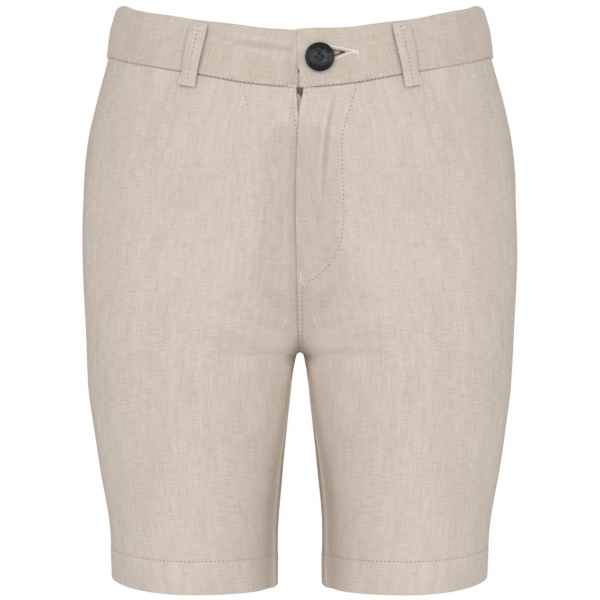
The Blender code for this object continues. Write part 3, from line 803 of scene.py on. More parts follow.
RIGHT_FRONT_CREASES = [
    Crease((6, -237), (30, -224), (84, -205), 6.5, -0.8),
    Crease((8, -244), (50, -243), (98, -234), 8.0, -0.8),
    Crease((7, -222), (26, -204), (46, -176), 7.0, -0.5),
    Crease((14, -254), (40, -274), (62, -326), 8.0, -0.65),
    Crease((12, -229), (40, -220), (90, -217), 7.0, 0.4),
    Crease((52, -142), (80, -168), (120, -176), 9.0, -0.5),
    Crease((98, -48), (84, -66), (72, -88), 6.0, -0.45),
    Crease((70, -70), (66, -110), (72, -160), 9.0, 0.45),
    Crease((118, -270), (108, -316), (124, -360), 9.0, -0.6),
    Crease((88, -330), (80, -366), (94, -410), 8.0, 0.45),
    Crease((56, -386), (76, -376), (112, -388), 9.0, -0.45),
    Crease((152, -160), (150, -200), (156, -250), 8.0, -0.6),
]


def panel_relief(ring, places, points, creases, seed):
    """The unevenness, the creases, the inside leg and the hem that every panel has."""
    height = points[:, 2]
    lift = soft_waves(points, seed) + crease_relief(points[:, 0], height, creases)
    lift = lift + inseam_relief(ring, places, height)
    return lift + hem_relief(points, ring_level[id(ring)]) if ring.is_leg else lift


def front_mesh(name, side, creases, seed):
    is_right = side == "right"
    sign = -1 if is_right else 1

    def edge(height):
        return sign * fly[f"{side}_edge"](height)

    def row_places(ring):
        start = HALF_GAP if ring.is_leg else ring.place_of_x(float(edge(ring.points[0, 2])))
        return edge_columns(start, pocket_edge(ring), FINE_ZONE, COARSE_COLUMNS)

    def relief(ring, places, points):
        lift = pocket_gape(ring, places) + panel_relief(ring, places, points, creases, seed)
        if is_right:
            lap = fly["lap"](ring.points[0, 2]) * fading(places, LAP_FLAT, LAP_RISE)
            lift = lift + ripples(points, seed) - lap
        return lift

    return body_panel(name, PANEL_ROWS, row_places, relief, edge, is_right)


for row in PANEL_ROWS:
    panel_ring(row.level)
ring_level = {id(ring): level for level, ring in known_rings.items()}

# The linen itself. Its threads are about two thirds of a millimetre apart and uneven: some are thicker
# for a few centimetres, and those slubs are paler. The groups give masks and heights, and each material
# sets its own colours.


def new_group(name, inputs, outputs):
    """An empty shader group, with vectors going in and numbers that vary over the surface coming out."""
    group = bpy.data.node_groups.new(name, "ShaderNodeTree")
    for socket in inputs:
        group.interface.new_socket(socket, in_out="INPUT", socket_type="NodeSocketVector")
    for socket in outputs:
        group.interface.new_socket(socket, in_out="OUTPUT", socket_type="NodeSocketFloat")
    return group, group.nodes.new("NodeGroupInput"), group.nodes.new("NodeGroupOutput")


class Wiring:
    """Short ways to add and join the nodes of one tree."""

    def __init__(self, tree):
        self.tree = tree

    def set_input(self, socket, value):
        if isinstance(value, bpy.types.NodeSocket):
            self.tree.links.new(value, socket)
        else:
            socket.default_value = value

    def feed(self, made, **inputs):
        """Gives a node's inputs their values or links. An underscore stands for a space in a name."""
        for key, value in inputs.items():
            self.set_input(made.inputs[key.replace("_", " ")], value)
        return made

    def node(self, kind, settings=(), **inputs):
        made = self.tree.nodes.new(kind)
        for key, value in dict(settings).items():
            setattr(made, key, value)
        return self.feed(made, **inputs)

    def maths(self, operation, first, second=0.0):
        made = self.node("ShaderNodeMath", {"operation": operation})
        self.set_input(made.inputs[0], first)
        self.set_input(made.inputs[1], second)
        return made.outputs[0]

    def plus(self, first, second):
        return self.maths("ADD", first, second)

    def times(self, first, second):
        return self.maths("MULTIPLY", first, second)

    def stretched(self, vector, scale):
        return self.node("ShaderNodeMapping", Vector=vector, Scale=scale).outputs[0]

    def noise(self, vector, scale, detail=2.0):
        made = self.node("ShaderNodeTexNoise", Vector=self.stretched(vector, scale), Scale=1.0, Detail=detail)
        return made.outputs[0]

    def between(self, value, low, high, to_low=0.0, to_high=1.0):
        made = self.node("ShaderNodeMapRange", {"clamp": True})
        for place, setting in enumerate((value, low, high, to_low, to_high)):
            self.set_input(made.inputs[place], setting)
        return made.outputs[0]

    def blend(self, factor, first, second, way="MIX"):
        made = self.node("ShaderNodeMix", {"data_type": "RGBA", "blend_type": way})
        self.set_input(made.inputs[0], factor)
        self.set_input(made.inputs[6], first)
        self.set_input(made.inputs[7], second)
        return made.outputs[2]

    def bump(self, height, distance, strength):
        made = self.node("ShaderNodeBump", Height=height, Distance=distance * MM, Strength=strength)
        return made.outputs["Normal"]


THREAD_PITCH = 0.64 * MM

weave, weave_in, weave_out = new_group("plain_weave", ["Map"], ["Thread tone", "Slubs", "Patches", "Height"])
wire = Wiring(weave)
cloth_map = weave_in.outputs["Map"]
split = wire.node("ShaderNodeSeparateXYZ", Vector=cloth_map)
wander = wire.times(wire.noise(cloth_map, (140, 140, 1), 1.0), 5.0)
turns_per_metre = math.pi / THREAD_PITCH
warp_wave, weft_wave = (
    wire.maths("SINE", wire.plus(wire.times(split.outputs[axis], turns_per_metre), wander)) for axis in (0, 1)
)
warp_threads = wire.noise(cloth_map, (1500, 60, 1))
weft_threads = wire.noise(cloth_map, (80, 1500, 1))
fibres = wire.noise(cloth_map, (1650, 1650, 1), 3.0)
warp_slubs = wire.between(wire.noise(cloth_map, (820, 34, 1), 1.0), 0.66, 0.78)
weft_slubs = wire.between(wire.noise(cloth_map, (58, 1050, 1), 1.0), 0.68, 0.77)
slubs = wire.maths("MAXIMUM", wire.times(warp_slubs, 0.7), weft_slubs)
threads = wire.plus(wire.times(warp_threads, 0.3), wire.times(weft_threads, 0.3))
clouds = wire.noise(cloth_map, (22, 13, 1), 3.0)
streaks = wire.noise(cloth_map, (170, 14, 1), 2.0)
height = wire.plus(wire.times(wire.times(warp_wave, weft_wave), 0.3), wire.times(slubs, 0.55))
wire.feed(
    weave_out,
    Thread_tone=wire.plus(threads, wire.times(fibres, 0.4)),
    Slubs=slubs,
    Patches=wire.plus(wire.times(clouds, 0.55), wire.times(streaks, 0.45)),
    Height=wire.plus(height, wire.times(threads, 0.9)),
)

# How far the threads stand up, and the tint of the linen's painted shade.
THREAD_RELIEF = 0.16
PAINTED_SHADE_TINT = (0.80, 0.775, 0.745, 1.0)


def new_finish(name):
    """An empty finish, with the wiring of its nodes and its shader."""
    made = bpy.data.materials.new(name)
    made.use_nodes = True
    return made, Wiring(made.node_tree), made.node_tree.nodes["Principled BSDF"]


def linen(name, dark, light, slub):
    """A linen finish: the two ends of its thread tones and its slubs' colour, which ridges take too, partly
    as wear and partly as painted highlight.
    """
    made, wire, shader = new_finish(name)
    cloth = wire.node("ShaderNodeUVMap", {"uv_map": "weave"})
    threads = wire.node("ShaderNodeGroup", {"node_tree": weave}, Map=cloth.outputs["UV"]).outputs
    ridge = wire.node("ShaderNodeAttribute", {"attribute_name": "ridge"}).outputs["Fac"]
    doubled = wire.node("ShaderNodeAttribute", {"attribute_name": "doubled"}).outputs["Fac"]
    mixed = wire.plus(threads["Thread tone"], wire.times(threads["Patches"], 0.24))
    colour = wire.blend(wire.between(mixed, 0.53, 0.71), dark, light)
    colour = wire.blend(wire.times(threads["Slubs"], 0.45), colour, slub)
    # Ridges turn towards the slub colour, partly as wear and partly as painted highlight, and grooves darken
    # as painted shade.
    colour = wire.blend(wire.between(ridge, 0.05, 0.6, 0.0, 0.3), colour, slub)
    groove_shade = tuple(0.72 * part for part in dark[:3]) + (1.0,)
    colour = wire.blend(wire.between(ridge, -0.5, -0.05, 0.28, 0.0), colour, groove_shade)
    # Painted shade from the points' values is multiplied in, and where they fall below 0, painted light
    # blends the colour towards the slub tone.
    colour = wire.blend(wire.between(doubled, 0.0, 1.0), colour, PAINTED_SHADE_TINT, "MULTIPLY")
    wire.feed(
        shader,
        Base_Color=wire.blend(wire.between(doubled, -1.0, 0.0, 1.0, 0.0), colour, slub),
        Roughness=wire.between(threads["Thread tone"], 0.3, 0.7, 0.94, 0.84),
        Sheen_Weight=0.03,
        Sheen_Roughness=0.6,
        Specular_IOR_Level=0.25,
        Normal=wire.bump(threads["Height"], THREAD_RELIEF, 0.6),
    )
    return made


linen_cloth = linen(
    "natural_linen",
    dark=(0.6, 0.515, 0.446, 1.0),
    light=(0.77, 0.682, 0.61, 1.0),
    slub=(0.86, 0.79, 0.72, 1.0),
)
SIDES = {"left": False, "right": True}


def hung_panel(kind, side, mesh):
    """A panel of linen that hangs from the waistband of its own side."""
    panel = finish_piece(f"{kind}_{side}_cloth", mesh, linen_cloth, [f"{kind}_{side}"])
    thicken(panel, CLOTH_THICK)
    return panel


fronts = {}
for side, creases, seed in (("left", LEFT_FRONT_CREASES, 0.4), ("right", RIGHT_FRONT_CREASES, 1.9)):
    mesh = front_mesh(f"front_{side}_cloth", side, creases, seed)
    fronts[side] = hung_panel("front", side, mesh)

# ---- backs ----
# Two backs, longer round the seat than the fronts are across the front, sewn to them at the sides and
# inside the legs and to each other at the centre back. They are plain, with the creases that sitting
# and walking leave below the seat.

LEFT_BACK_CREASES = [
    Crease((8, -214), (46, -222), (98, -206), 7.0, -0.8),
    Crease((10, -232), (52, -246), (112, -238), 8.0, -0.9),
    Crease((14, -252), (50, -272), (92, -318), 8.0, -0.7),
    Crease((20, -205), (60, -190), (110, -178), 9.0, 0.5),
    Crease((60, -300), (84, -330), (128, -344), 9.0, -0.6),
    Crease((40, -52), (36, -86), (44, -118), 8.0, -0.5),
    Crease((112, -40), (104, -74), (110, -110), 9.0, -0.4),
    Crease((70, -370), (96, -392), (124, -396), 8.0, -0.45),
    Crease((146, -170), (142, -214), (152, -262), 8.0, -0.6),
]
RIGHT_BACK_CREASES = [
    Crease((7, -220), (40, -230), (90, -220), 7.0, -0.8),
    Crease((10, -238), (58, -252), (118, -252), 8.0, -0.8),
    Crease((12, -250), (44, -280), (80, -330), 8.0, -0.7),
    Crease((24, -198), (62, -196), (104, -190), 9.0, 0.5),
    Crease((56, -290), (90, -312), (132, -318), 9.0, -0.5),
    Crease((46, -46), (50, -84), (42, -124), 8.0, -0.5),
    Crease((118, -44), (112, -66), (122, -98), 9.0, -0.4),
    Crease((64, -384), (90, -378), (126, -388), 8.0, -0.45),
    Crease((150, -180), (146, -222), (150, -270), 8.0, -0.6),
]
BACK_FINE_ZONE = 24.0
BACK_COLUMNS = 96


def back_mesh(name, mirrored, creases, seed):
    def row_places(ring):
        return edge_columns(ring.side + HALF_GAP, ring.length - HALF_GAP, BACK_FINE_ZONE, BACK_COLUMNS)

    def relief(ring, places, points):
        return panel_relief(ring, places, points, creases, seed)

    return body_panel(name, PANEL_ROWS, row_places, relief, lambda z: HALF_GAP + 0 * z, mirrored)


backs = {}
for side, creases, seed in (("left", LEFT_BACK_CREASES, 2.7), ("right", RIGHT_BACK_CREASES, 4.1)):
    mesh = back_mesh(f"back_{side}_cloth", SIDES[side], creases, seed)
    backs[side] = hung_panel("back", side, mesh)

# ---- pocket facings ----
# Each slanted pocket has a facing of the same linen behind its opening, sewn into the side seam and the
# waist seam. The front's edge stands off it a little where the hand goes in.

# How far the facing reaches under the front, how deep it lies there and how much of that it rises again
# by the side seam.
FACING_UNDER = 24.0
FACING_DEPTH = 1.95
FACING_RISE = 0.85
FACING_COLUMNS = 16
FACING_ROWS = TUCK_ROWS + rows_between(TUCK_ROWS[-1].level, BELOW_WAIST, step=2.4)


def facing_mesh(name, mirrored):
    def row_places(ring):
        start, end = pocket_edge(ring) - FACING_UNDER, ring.side - HALF_GAP
        return edge_columns(start, end, FACING_UNDER, FACING_COLUMNS)

    def relief(ring, places, points):
        opening = pocket_edge(ring)
        risen = ease((places - opening - 3.0) / np.maximum(ring.side - opening - 5.0, 4.0))
        return FACING_DEPTH * (FACING_RISE * risen - 1.0)

    return body_panel(name, FACING_ROWS, row_places, relief, None, mirrored)


for side, mirrored in SIDES.items():
    name = f"pocket_facing_{side}_cloth"
    mesh = facing_mesh(name, mirrored)
    facing = finish_piece(name, mesh, linen_cloth, [f"pocket_facing_{side}"])
    thicken(facing, CLOTH_THICK)

# ---- stitching ----
# Lockstitch in thread that matches the linen, about seven stitches to 25 mm. Each stitch is a short,
# rounded bar of thread with a needle hole at both ends, where a small dark disc paints the hole's shade.
# Bartacks are the same thread laid side by side.

STITCH_PITCH = 3.5
STITCH_LENGTH = 2.5
THREAD_HALF = 0.26
TACK_THREAD_HALF = 0.24
TACK_PITCH = 0.36
HOLE_SHADE_HALF = 0.5
HOLE_SHADE_THICK = 0.07
FIBRE_VARIES = 0.12
FIBRE_SCALE = 900.0


def matt_finish(name, colour, roughness):
    """A plain matt finish whose colour varies a little from fibre to fibre."""
    made, wire, shader = new_finish(name)
    place = wire.node("ShaderNodeTexCoord").outputs["Object"]
    fibres = wire.noise(place, (FIBRE_SCALE,) * 3, 3.0)
    shares = (1 - FIBRE_VARIES, 1 + FIBRE_VARIES)
    darker, lighter = (tuple(min(1.0, share * part) for part in colour) + (1.0,) for share in shares)
    tone = wire.blend(wire.between(fibres, 0.3, 0.7), darker, lighter)
    wire.feed(shader, Base_Color=tone, Normal=wire.bump(fibres, 0.1, 0.4), Roughness=roughness)
    return made


seam_thread = matt_finish("seam_thread", (0.74, 0.66, 0.61), 0.7)
hole_shade_finish = matt_finish("needle_hole_shade", (0.17, 0.13, 0.10), 0.9)
tack_thread = matt_finish("bartack_thread", (0.84, 0.76, 0.71), 0.6)


def pattern_mesh(name, sides, rings):
    """A small ball, the pattern that every stitch is stretched from."""
    shape = bmesh.new()
    bmesh.ops.create_uvsphere(shape, u_segments=sides, v_segments=rings, radius=1.0)
    for face in shape.faces:
        face.smooth = True
    return mesh_of(name, shape)


stitch_pattern = pattern_mesh("stitch_pattern", 6, 4)
hole_shade_pattern = pattern_mesh("hole_shade_pattern", 6, 3)


def lying_on(place, along, normal, size):
    """A matrix that lays a shape at this place, its X along the path and its Z out of the cloth."""
    along = (along - along.dot(normal) * normal).normalized()
    turned = Matrix((along, normal.cross(along), normal)).transposed().to_4x4()
    return Matrix.Translation(place) @ turned @ Matrix.Diagonal((*size, 1.0))


def add_copy(shape, pattern, matrix, slot_number):
    placed = pattern.copy()
    placed.transform(matrix)
    for face in placed.polygons:
        face.material_index = slot_number
    shape.from_mesh(placed)
    bpy.data.meshes.remove(placed)


def evenly(points, pitch):
    """Points on this path a pitch apart, with the direction of the path at each."""
    points = np.array(points, float)
    along = np.concatenate([[0.0], np.cumsum(np.linalg.norm(np.diff(points, axis=0), axis=1))])
    at = np.linspace(0, along[-1], max(2, round(along[-1] / pitch) + 1))
    spread = np.stack([np.interp(at, along, points[:, k]) for k in range(points.shape[1])], -1)
    return spread, np.gradient(spread, axis=0)


def directions(places):
    """The direction of a path at each of its places."""
    return [Vector(step) for step in np.gradient(np.array([tuple(place) for place in places]), axis=0)]


def on_cloth(piece, point, towards):
    """Where a ray from outside, in this direction, meets the piece: the place and the normal."""
    direction = Vector(towards).normalized()
    hit, place, normal, _ = piece.ray_cast(Vector(point) - direction * 0.2, direction)
    if not hit:
        hit, place, normal, _ = piece.closest_point_on_mesh(Vector(point))
    return place, normal


def laid_on(piece, rays):
    """A path laid on the piece by rays, each a point and a direction: places, normals and directions."""
    hits = [on_cloth(piece, point, towards) for point, towards in rays]
    places = [place for place, _ in hits]
    return places, [normal for _, normal in hits], directions(places)


def path_on_front(piece, path, pitch):
    """A path given in X and Z, laid on the cloth as seen from the front."""
    flat, _ = evenly(path, pitch)
    return laid_on(piece, [((x * MM, -0.1, z * MM), (0, 1, 0)) for x, z in flat])


def mirror_sign(mirrored):
    return Vector((-1 if mirrored else 1, 1, 1))


def inward_rays(points, normals, mirrored):
    """Rays that meet the cloth at one half's points, from outside."""
    sign = mirror_sign(mirrored)
    return [(Vector(p * MM) * sign, -Vector(n) * sign) for p, n in zip(points, normals)]


class Sewing:
    """Stitches gathered into one mesh. Threads take the first material, and the dark discs that paint the
    shade of needle holes take the second.
    """

    def __init__(self):
        self.shape = bmesh.new()

    def stitch(self, place, along, normal, length=STITCH_LENGTH, half=THREAD_HALF, rise=0.02):
        size = (length / 2 * MM, half * MM, half * 0.8 * MM)
        add_copy(self.shape, stitch_pattern, lying_on(place + normal * rise * MM, along, normal, size), 0)

    def shade_needle_hole(self, place, along, normal):
        size = (HOLE_SHADE_HALF * MM, HOLE_SHADE_HALF * MM, HOLE_SHADE_THICK * MM)
        add_copy(self.shape, hole_shade_pattern, lying_on(place, along, normal, size), 1)

    def run(self, places, normals, alongs, half=THREAD_HALF):
        """A row of stitches with a dark disc after each, painted shade for its needle hole."""
        for place, normal, along in zip(places, normals, alongs):
            self.stitch(place, along, normal, half=half)
            self.shade_needle_hole(place + along.normalized() * STITCH_PITCH / 2 * MM, along, normal)

    def tack(self, places, normals, alongs, width, half=TACK_THREAD_HALF):
        """A bartack: threads side by side, laid across the path."""
        for place, normal, along in zip(places, normals, alongs):
            self.stitch(place, normal.cross(along), normal, length=width, half=half, rise=0.12)

    def finish(self, name, threads):
        mesh = mesh_of(name, self.shape)
        finish_piece(name, mesh, threads, [])
        mesh.materials.append(hole_shade_finish)


bpy.context.view_layer.update()

HEM_STITCH_RISE = HEM_DEEP - 0.6
HEM_STITCH_END = 1.5
hem_ring = panel_ring(HEM_LEVEL + HEM_STITCH_RISE)
HEM_RUNS = (
    (fronts, HEM_STITCH_END, hem_ring.side - HEM_STITCH_END),
    (backs, hem_ring.side + HEM_STITCH_END, hem_ring.length - HEM_STITCH_END),
)
for side, mirrored in SIDES.items():
    sewing = Sewing()
    for panels, first, last in HEM_RUNS:
        count = max(2, round(abs(last - first) / STITCH_PITCH) + 1)
        line = hem_ring.read(np.linspace(first, last, count))
        sewing.run(*laid_on(panels[side], inward_rays(*line, mirrored)))
    sewing.finish(f"hem_stitches_{side}", seam_thread)

# The pockets' edges are topstitched a presser foot's width in, and tacked where the hand pulls at them.
POCKET_STITCH_INSET = 6.0
POCKET_STITCH_TOP = -3.0
POCKET_STITCH_LOW = -114.0
POCKET_TACK = [(154.5, -5.8), (150.2, -6.6)]
POCKET_TACK_WIDTH = 1.6


def pocket_path():
    """Points and normals beside the left pocket's edge, from the waist seam down."""
    face = [row.level for row in PANEL_ROWS if row.depth == 0]
    rings = [panel_ring(level) for level in face if POCKET_STITCH_LOW < level < POCKET_STITCH_TOP]
    return [ring.read(pocket_edge(ring) - POCKET_STITCH_INSET) for ring in rings]


def along_line(line, pitch, turning=10.0):
    """Points and normals a pitch apart on a line of (point, normal) pairs, with the line's direction.

    turning is how much the turning of the normals counts as length.
    """
    line = np.array([np.concatenate([point, turning * normal]) for point, normal in line])
    rows, steps = evenly(line, pitch)
    return rows[:, :3], rows[:, 3:], steps[:, :3]


for side, mirrored in SIDES.items():
    sewing = Sewing()
    points, normals, _ = along_line(pocket_path(), STITCH_PITCH, turning=20.0)
    sewing.run(*laid_on(fronts[side], inward_rays(points, normals, mirrored)))
    sewing.finish(f"pocket_stitches_{side}", seam_thread)
    sign = -1 if mirrored else 1
    tacks = Sewing()
    path = [(sign * x, z) for x, z in POCKET_TACK]
    tacks.tack(*path_on_front(fronts[side], path, TACK_PITCH), POCKET_TACK_WIDTH)
    tacks.finish(f"pocket_tack_{side}", tack_thread)

# ---- fly ----
# The left front's facing is held down by the curved line of stitches beside the fly. The zip is sewn
# behind, its coil closed and its slider pushed up under the waistband. A tack closes the fly's foot,
# and the seam below it is topstitched down to the fork.

J_STITCH = [
    (46.0, -31.0),
    (41.0, -49.0),
    (34.9, -70.0),
    (33.6, -90.0),
    (34.8, -122.0),
    (35.2, -142.0),
    (31.5, -163.0),
    (22.5, -178.5),
    (11.3, -189.0),
    (2.4, -192.3),
]
FORK_STITCH = [(0.6, -195.0), (1.6, -222.0), (1.4, -234.0), (1.2, -245.0)]
SHIELD_STITCH = [(-6.0, -46.0), (-5.4, -54.0), (-4.2, -61.0), (-2.9, -70.0)]
POCKET_BAG_STITCH = [(-45.0, -37.0), (-42.7, -46.5)]
FLY_TACKS = (([(0.5, -184.0), (0.5, -192.6)], 1.5), ([(1.0, -192.6), (4.2, -192.2)], 1.2))


def smooth_path(points, spans=10):
    """A smooth line through these points."""
    points = [np.array(p, float) for p in points]
    points = [2 * points[0] - points[1]] + points + [2 * points[-1] - points[-2]]
    line = []
    for a, b, c, d in zip(points, points[1:], points[2:], points[3:]):
        for t in np.linspace(0, 1, spans, endpoint=False):
            start = 2 * b + (c - a) * t
            line.append(0.5 * (start + (2 * a - 5 * b + 4 * c - d) * t**2 + (3 * b - a - 3 * c + d) * t**3))
    return np.array(line + [points[-2]])


for name, side, path in (
    ("fly_curve_stitches", "left", J_STITCH),
    ("fork_stitches", "left", FORK_STITCH),
    ("fly_edge_stitches", "right", SHIELD_STITCH),
    ("pocket_bag_stitches", "right", POCKET_BAG_STITCH),
):
    sewing = Sewing()
    sewing.run(*path_on_front(fronts[side], smooth_path(path), STITCH_PITCH))
    sewing.finish(name, seam_thread)

tacks = Sewing()
for ends, width in FLY_TACKS:
    tacks.tack(*path_on_front(fronts["left"], ends, TACK_PITCH), width)
tacks.finish("fly_tack", tack_thread)

# The facing's inner edge and, by height, its curved outer one, as lengths from the centre front.
FLY_FACING_START = 2.6
Facing = namedtuple("Facing", "height edge")
FLY_FACING = [
    Facing(-30, 50),
    Facing(-60, 44),
    Facing(-90, 39),
    Facing(-150, 38),
    Facing(-170, 33),
    Facing(-186, 21),
    Facing(-196, 9),
]
FACING_BEHIND = 2.1
facing_edge = table_curve(FLY_FACING, "height", "edge")
FLY_ROWS = [Row(0.0, 0.0)] + rows_between(0.0, -194.0, step=3.0)


def plain_sheet(name, rows, row_places, depth):
    """A flat strip of cloth that follows the body at one depth."""
    rings = [panel_ring(row.level) for row in rows]
    places = np.array([row_places(ring) for ring in rings])
    points, normals = (np.array(part) for part in zip(*(ring.read(at) for ring, at in zip(rings, places))))
    uvs = np.stack([places, points[..., 2]], -1)
    return cloth_grid(name, points - depth * normals, uvs, np.zeros(places.shape), inside_out=True)


def fly_facing_places(ring):
    return np.linspace(FLY_FACING_START, float(facing_edge(ring.points[0, 2])), 22)


mesh = plain_sheet("fly_facing_cloth", FLY_ROWS, fly_facing_places, FACING_BEHIND)
fly_facing = finish_piece("fly_facing_cloth", mesh, linen_cloth, ["fly_facing"])
thicken(fly_facing, CLOTH_THICK)

TAPE_EDGES = (-12.0, 14.0)
TAPE_DEPTH = 3.7
TAPE_THICK = 0.5
TAPE_END = -185.0
TAPE_ROWS = [Row(0.0, 0.0)] + rows_between(0.0, TAPE_END, step=3.0)

mesh = plain_sheet("zip_tape_cloth", TAPE_ROWS, lambda ring: np.linspace(*TAPE_EDGES, 27), TAPE_DEPTH)
# The tape's colour is set paler than its own tone, as painted light against the shade of its recess behind
# the fly.
tape_cloth = matt_finish("zip_tape_polyester", (0.80, 0.69, 0.64), 0.75)
zip_tape = finish_piece("zip_tape_cloth", mesh, tape_cloth, ["zip_tape"])
thicken(zip_tape, TAPE_THICK)

# The closed coil: bars across the tape's middle, shifted to one side and the other in turn.
COIL_PITCH = 1.25
COIL_SHIFT = 0.7
COIL_BAR = (1.6 * MM, 0.45 * MM, 0.55 * MM)
COIL_DEPTH = TAPE_DEPTH - 0.5
coil = bmesh.new()
coil_levels = [row.level for row in PANEL_ROWS if row.depth == 0 and row.level > TAPE_END]
points, normals, _ = along_line([panel_ring(level).read(0.0) for level in coil_levels], COIL_PITCH)
for number, (point, normal) in enumerate(zip(points, normals)):
    normal = Vector(normal).normalized()
    shift = Vector((COIL_SHIFT * MM * (-1) ** number, 0, 0))
    place = Vector(point * MM) + shift - normal * COIL_DEPTH * MM
    add_copy(coil, stitch_pattern, lying_on(place, Vector((1, 0, 0)), normal, COIL_BAR), 0)
coil_nylon = matt_finish("zip_coil_nylon", (0.78, 0.68, 0.63), 0.6)
finish_piece("zip_coil", mesh_of("zip_coil", coil), coil_nylon, [])


def worn_metal(name, colour, roughness):
    """Plated zinc, brighter where fingers and the coil have rubbed it."""
    made, wire, shader = new_finish(name)
    place = wire.node("ShaderNodeTexCoord").outputs["Object"]
    rubbed = wire.between(wire.noise(place, (700, 700, 700), 4.0), 0.42, 0.66)
    brighter = tuple(min(1.0, 1.7 * part) for part in colour) + (1.0,)
    wire.feed(
        shader,
        Base_Color=wire.blend(rubbed, (*colour, 1.0), brighter),
        Roughness=wire.between(rubbed, 0, 1, roughness + 0.12, roughness - 0.08),
        Metallic=0.7,
    )
    return made


gunmetal = worn_metal("gunmetal_plate", (0.12, 0.105, 0.098), 0.4)
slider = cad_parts["zip_slider"]
slider.data.materials.clear()
slider.data.materials.append(gunmetal)

# ---- waistband ----
# A doubled, interfaced band of the same linen, cut in two pieces that meet at the centre back. It is
# folded over at the top, seamed to the fronts and backs below, and its left end laps over the right
# one, which bends in behind it as an underlap. Stitches in the seam's ditch hold the inner layer.

# How far the band's face and the middle of its thickness stand out, how far its right end reaches under
# the left one, how deep it goes there, and where along the band it bends in.
BAND_OUT = 0.8
BAND_MIDDLE = -0.5
BAND_UNDERLAP = 33.0
BAND_UNDER = 2.9
BAND_BEND_END = 3.8
BAND_BEND_OVER = 14.2
BAND_ROWS = 26
BAND_CROWN = 0.3
BAND_UNEVEN = 0.12
# A crease is at its full height at the front, and has only this share of it at the back.
CREASE_AT_BACK = 0.3
BandRow = namedtuple("BandRow", "share lift")
BAND_CORNER = [BandRow(0.0, -0.3), BandRow(0.004, 0.3), BandRow(0.014, 0.65)]


def band_section():
    """The band's closed section from the seam up its face, over the fold and down inside."""
    shares = np.linspace(0.03, 0.97, BAND_ROWS)
    face = BAND_CORNER + [BandRow(share, BAND_OUT) for share in shares]
    face += [BandRow(1 - row.share, row.lift) for row in reversed(BAND_CORNER)]
    inside = [BandRow(row.share, 2 * BAND_MIDDLE - row.lift) for row in reversed(face)]
    return face + [BandRow(1.004, BAND_MIDDLE)] + inside + [BandRow(-0.002, BAND_MIDDLE), face[0]]


def band_ring(share):
    """A ring of the waistband, from its lower edge at 0 to its upper edge at 1."""

    def heights(turns):
        around = waist_degrees(turns)
        low = waist_seam(around) + HALF_GAP
        return low + share * (waist_top(around) - low)

    return kept_ring(("band", round(share, 4)), heights, False)


# Where the lapped edge lies in X as it goes up the band. Its upper part is pressed thin over the button
# stand below it, and it stands open at two places in its lower part.
Lap = namedtuple("Lap", "share edge")
BAND_LAP = [Lap(0.0, -0.2), Lap(0.1, -0.5), Lap(0.25, -1.0), Lap(0.42, -2.4), Lap(0.7, -2.8), Lap(1.0, -2.7)]
lap_edge = table_curve(BAND_LAP, "share", "edge")
LAP_PRESSED = 0.6
LAP_THINNED = 0.65
STAND_RISE = 0.8
LAP_OPENINGS = (Swell(0.7, 0.27, 0.09), Swell(0.5, 0.04, 0.05))
Closing = namedtuple("Closing", "inset fullness")
END_CLOSING = [Closing(0.0, 0.0), Closing(0.12, 0.5), Closing(0.45, 0.86), Closing(1.2, 1.0)]
BAND_FINE_REACH = 112.0
BAND_FINE_STEP = 1.2
BAND_COARSE_COLUMNS = 125
LEFT_BAND_CREASES = [
    Crease((30, -16), (46, -20), (66, -18), 3.0, -0.35),
    Crease((30, 2), (48, 6), (74, 9), 3.5, -0.35),
    Crease((6, -24), (12, -30), (24, -29), 3.0, 0.3),
    Crease((96, 6), (112, 4), (128, 10), 4.0, -0.4),
    Crease((100, 18), (116, 17), (136, 24), 4.0, -0.35),
]
RIGHT_BAND_CREASES = [
    Crease((4, -5.0), (30, 0), (58, 3.5), 2.7, -1.5),
    Crease((13, -13.0), (34, -8), (58, -4), 5.0, 0.6),
    Crease((9, -14), (18, -20), (30, -30), 2.2, -0.3),
    Crease((8, -7), (16, -16), (24, -28), 2.2, 0.25),
    Crease((98, 8), (112, 3), (130, 9), 4.0, -0.4),
    Crease((60, 12), (76, 9), (88, 12), 3.5, -0.3),
]


def band_waves(places, share, seed):
    """How far the folded top edge wanders up and down."""
    wave = 0.35 * np.sin(places / 9.5 + seed) + 0.3 * np.sin(places / 23.0 + 2.0 * seed)
    return wave * ease((share - 0.55) / 0.45)


def band_places(ring, start):
    """Places along the band: the closing of each end, fine columns in front and coarse ones behind."""
    first = [start + closing.inset for closing in END_CLOSING]
    last = [ring.length - HALF_GAP - closing.inset for closing in reversed(END_CLOSING)]
    fine = np.linspace(first[-1], BAND_FINE_REACH, round(BAND_FINE_REACH / BAND_FINE_STEP))[1:]
    coarse = np.linspace(fine[-1], last[0], BAND_COARSE_COLUMNS)[1:-1]
    return np.concatenate([first, fine, coarse, last])


def end_fullness(count):
    """How full the band's section is along a row, closing in at both ends."""
    closing_in = [closing.fullness for closing in END_CLOSING]
    return np.array(closing_in + [1.0] * (count - 2 * len(closing_in)) + closing_in[::-1])


